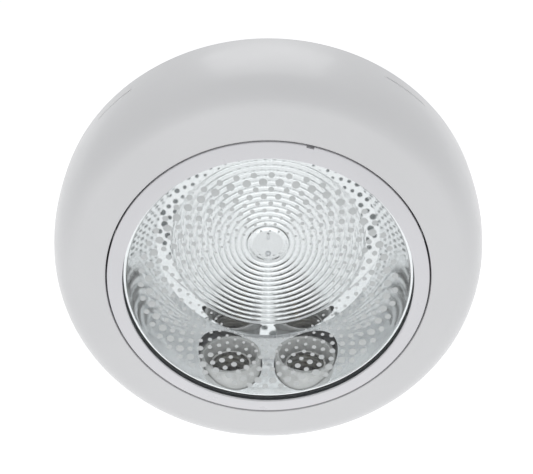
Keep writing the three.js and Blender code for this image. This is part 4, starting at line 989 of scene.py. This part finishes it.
for hand in ("left", "right"):
    low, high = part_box(f"lampholder_skirt_{hand}")
    seat = Vector(((low.x + high.x) / 2, (low.y + high.y) / 2, high.z))
    stand(upright_piece(f"holder_skirt_{hand}", skirt_section, seat), "base", "holder_plastic",
          holder_plastic, f"lampholder_skirt_{hand}")
    stand(upright_piece(f"holder_core_{hand}", core_section, seat), "base", "porcelain", ceramic,
          f"lampholder_core_{hand}")
    stand(screw_shell(f"holder_thread_{hand}", seat, thread_start), "base", "nickel", nickel,
          f"screw_shell_{hand}")
    stand(upright_piece(f"holder_cap_{hand}", cap_section, seat, CAP_TURNS), "base",
          "holder_plastic", holder_plastic, f"lampholder_cap_{hand}")
    wear(brass, f"centre_contact_{hand}")

# ------------------------------------------------------------------ lampholder bracket
# An angle of galvanised steel sheet on the back plate. The cores pass through the leaf that stands
# out from the plate, the skirts clamp against it, and two screws hold its foot.
SPANGLE_PER_METRE = 130.0


def spangled_zinc():
    """Hot-dip zinc: angular crystals about 8 mm across, each with its own grey and gloss, under
    cloudy patches."""
    finish, tree, shader = new_finish("galvanised_sheet")
    place = add_node(tree, "ShaderNodeTexCoord")
    cells = add_node(tree, "ShaderNodeTexVoronoi", {"Scale": SPANGLE_PER_METRE, "Randomness": 1.0})
    split = add_node(tree, "ShaderNodeSeparateColor")
    tree.links.new(place.outputs["Object"], cells.inputs["Vector"])
    tree.links.new(cells.outputs["Color"], split.inputs["Color"])
    crystal = tinted(tree, split.outputs["Red"], (0.50, 0.51, 0.53), (0.66, 0.67, 0.69), 0.0, 1.0)
    cloud = tinted(tree, grain(tree, 25), (0.82, 0.83, 0.84), (1.0, 1.0, 1.0))
    tree.links.new(multiplied(tree, crystal, cloud), shader.inputs["Base Color"])
    tree.links.new(spread(tree, split.outputs["Green"], 0.28, 0.48, 0.0, 1.0),
                   shader.inputs["Roughness"])
    relief(tree, shader, grain(tree, 500), 0.000005)
    shader.inputs["Metallic"].default_value = 1.0
    return finish


galvanised = spangled_zinc()
wear(galvanised, "lampholder_bracket")
wear(screw_steel, "bracket_screw_left", "bracket_screw_right")

# ------------------------------------------------------------------ back plate and latches
# The plate is pressed from galvanised steel with a raised rim, two keyholes for the wall screws
# and a round cable entry. Two levers on pins stand behind the slots, each with a leaf spring.
wear(galvanised, "back_plate")
for hand in ("left", "right"):
    wear(plated_steel, f"latch_{hand}")
    wear(screw_steel, f"latch_pin_{hand}")
    wear(spring_steel, f"latch_spring_{hand}")

# ------------------------------------------------------------------ wiring
# The supply cable, which is left out, would come in through a rubber grommet and under a clamp to
# a three-pole ceramic terminal block. Two sheathed leads run from it to each holder, and one to the
# earth stud.


def lead_finish(name, dark, light):
    """PVC sheath with a faint extrusion grain."""
    return moulded_finish(name, dark, light, 0.4, 0.55)


wear(rubber_finish("grommet_rubber", (0.03, 0.03, 0.03), (0.055, 0.055, 0.055)), "cable_grommet")
wear(moulded_finish("clamp_plastic", (0.62, 0.62, 0.58), (0.72, 0.72, 0.68), 0.3, 0.45),
     "cord_clamp")
wear(moulded_finish("terminal_ceramic", (0.78, 0.76, 0.72), (0.86, 0.84, 0.80), 0.18, 0.3),
     "terminal_block")
wear(screw_steel, "clamp_screw_left", "clamp_screw_right", "terminal_screw_live",
     "terminal_screw_neutral", "terminal_screw_earth")
wear(brass, "terminal_sleeve_live", "terminal_sleeve_neutral", "terminal_sleeve_earth",
     "earth_stud", "earth_nut")
wear(nickel, "earth_tag")
brown = lead_finish("brown_sheath", (0.12, 0.055, 0.025), (0.18, 0.085, 0.04))
blue = lead_finish("blue_sheath", (0.03, 0.12, 0.33), (0.05, 0.18, 0.45))
green = lead_finish("green_sheath", (0.10, 0.30, 0.05), (0.45, 0.46, 0.06))
wear(brown, "live_lead_left", "live_lead_right")
wear(blue, "neutral_lead_left", "neutral_lead_right")
wear(green, "earth_lead")
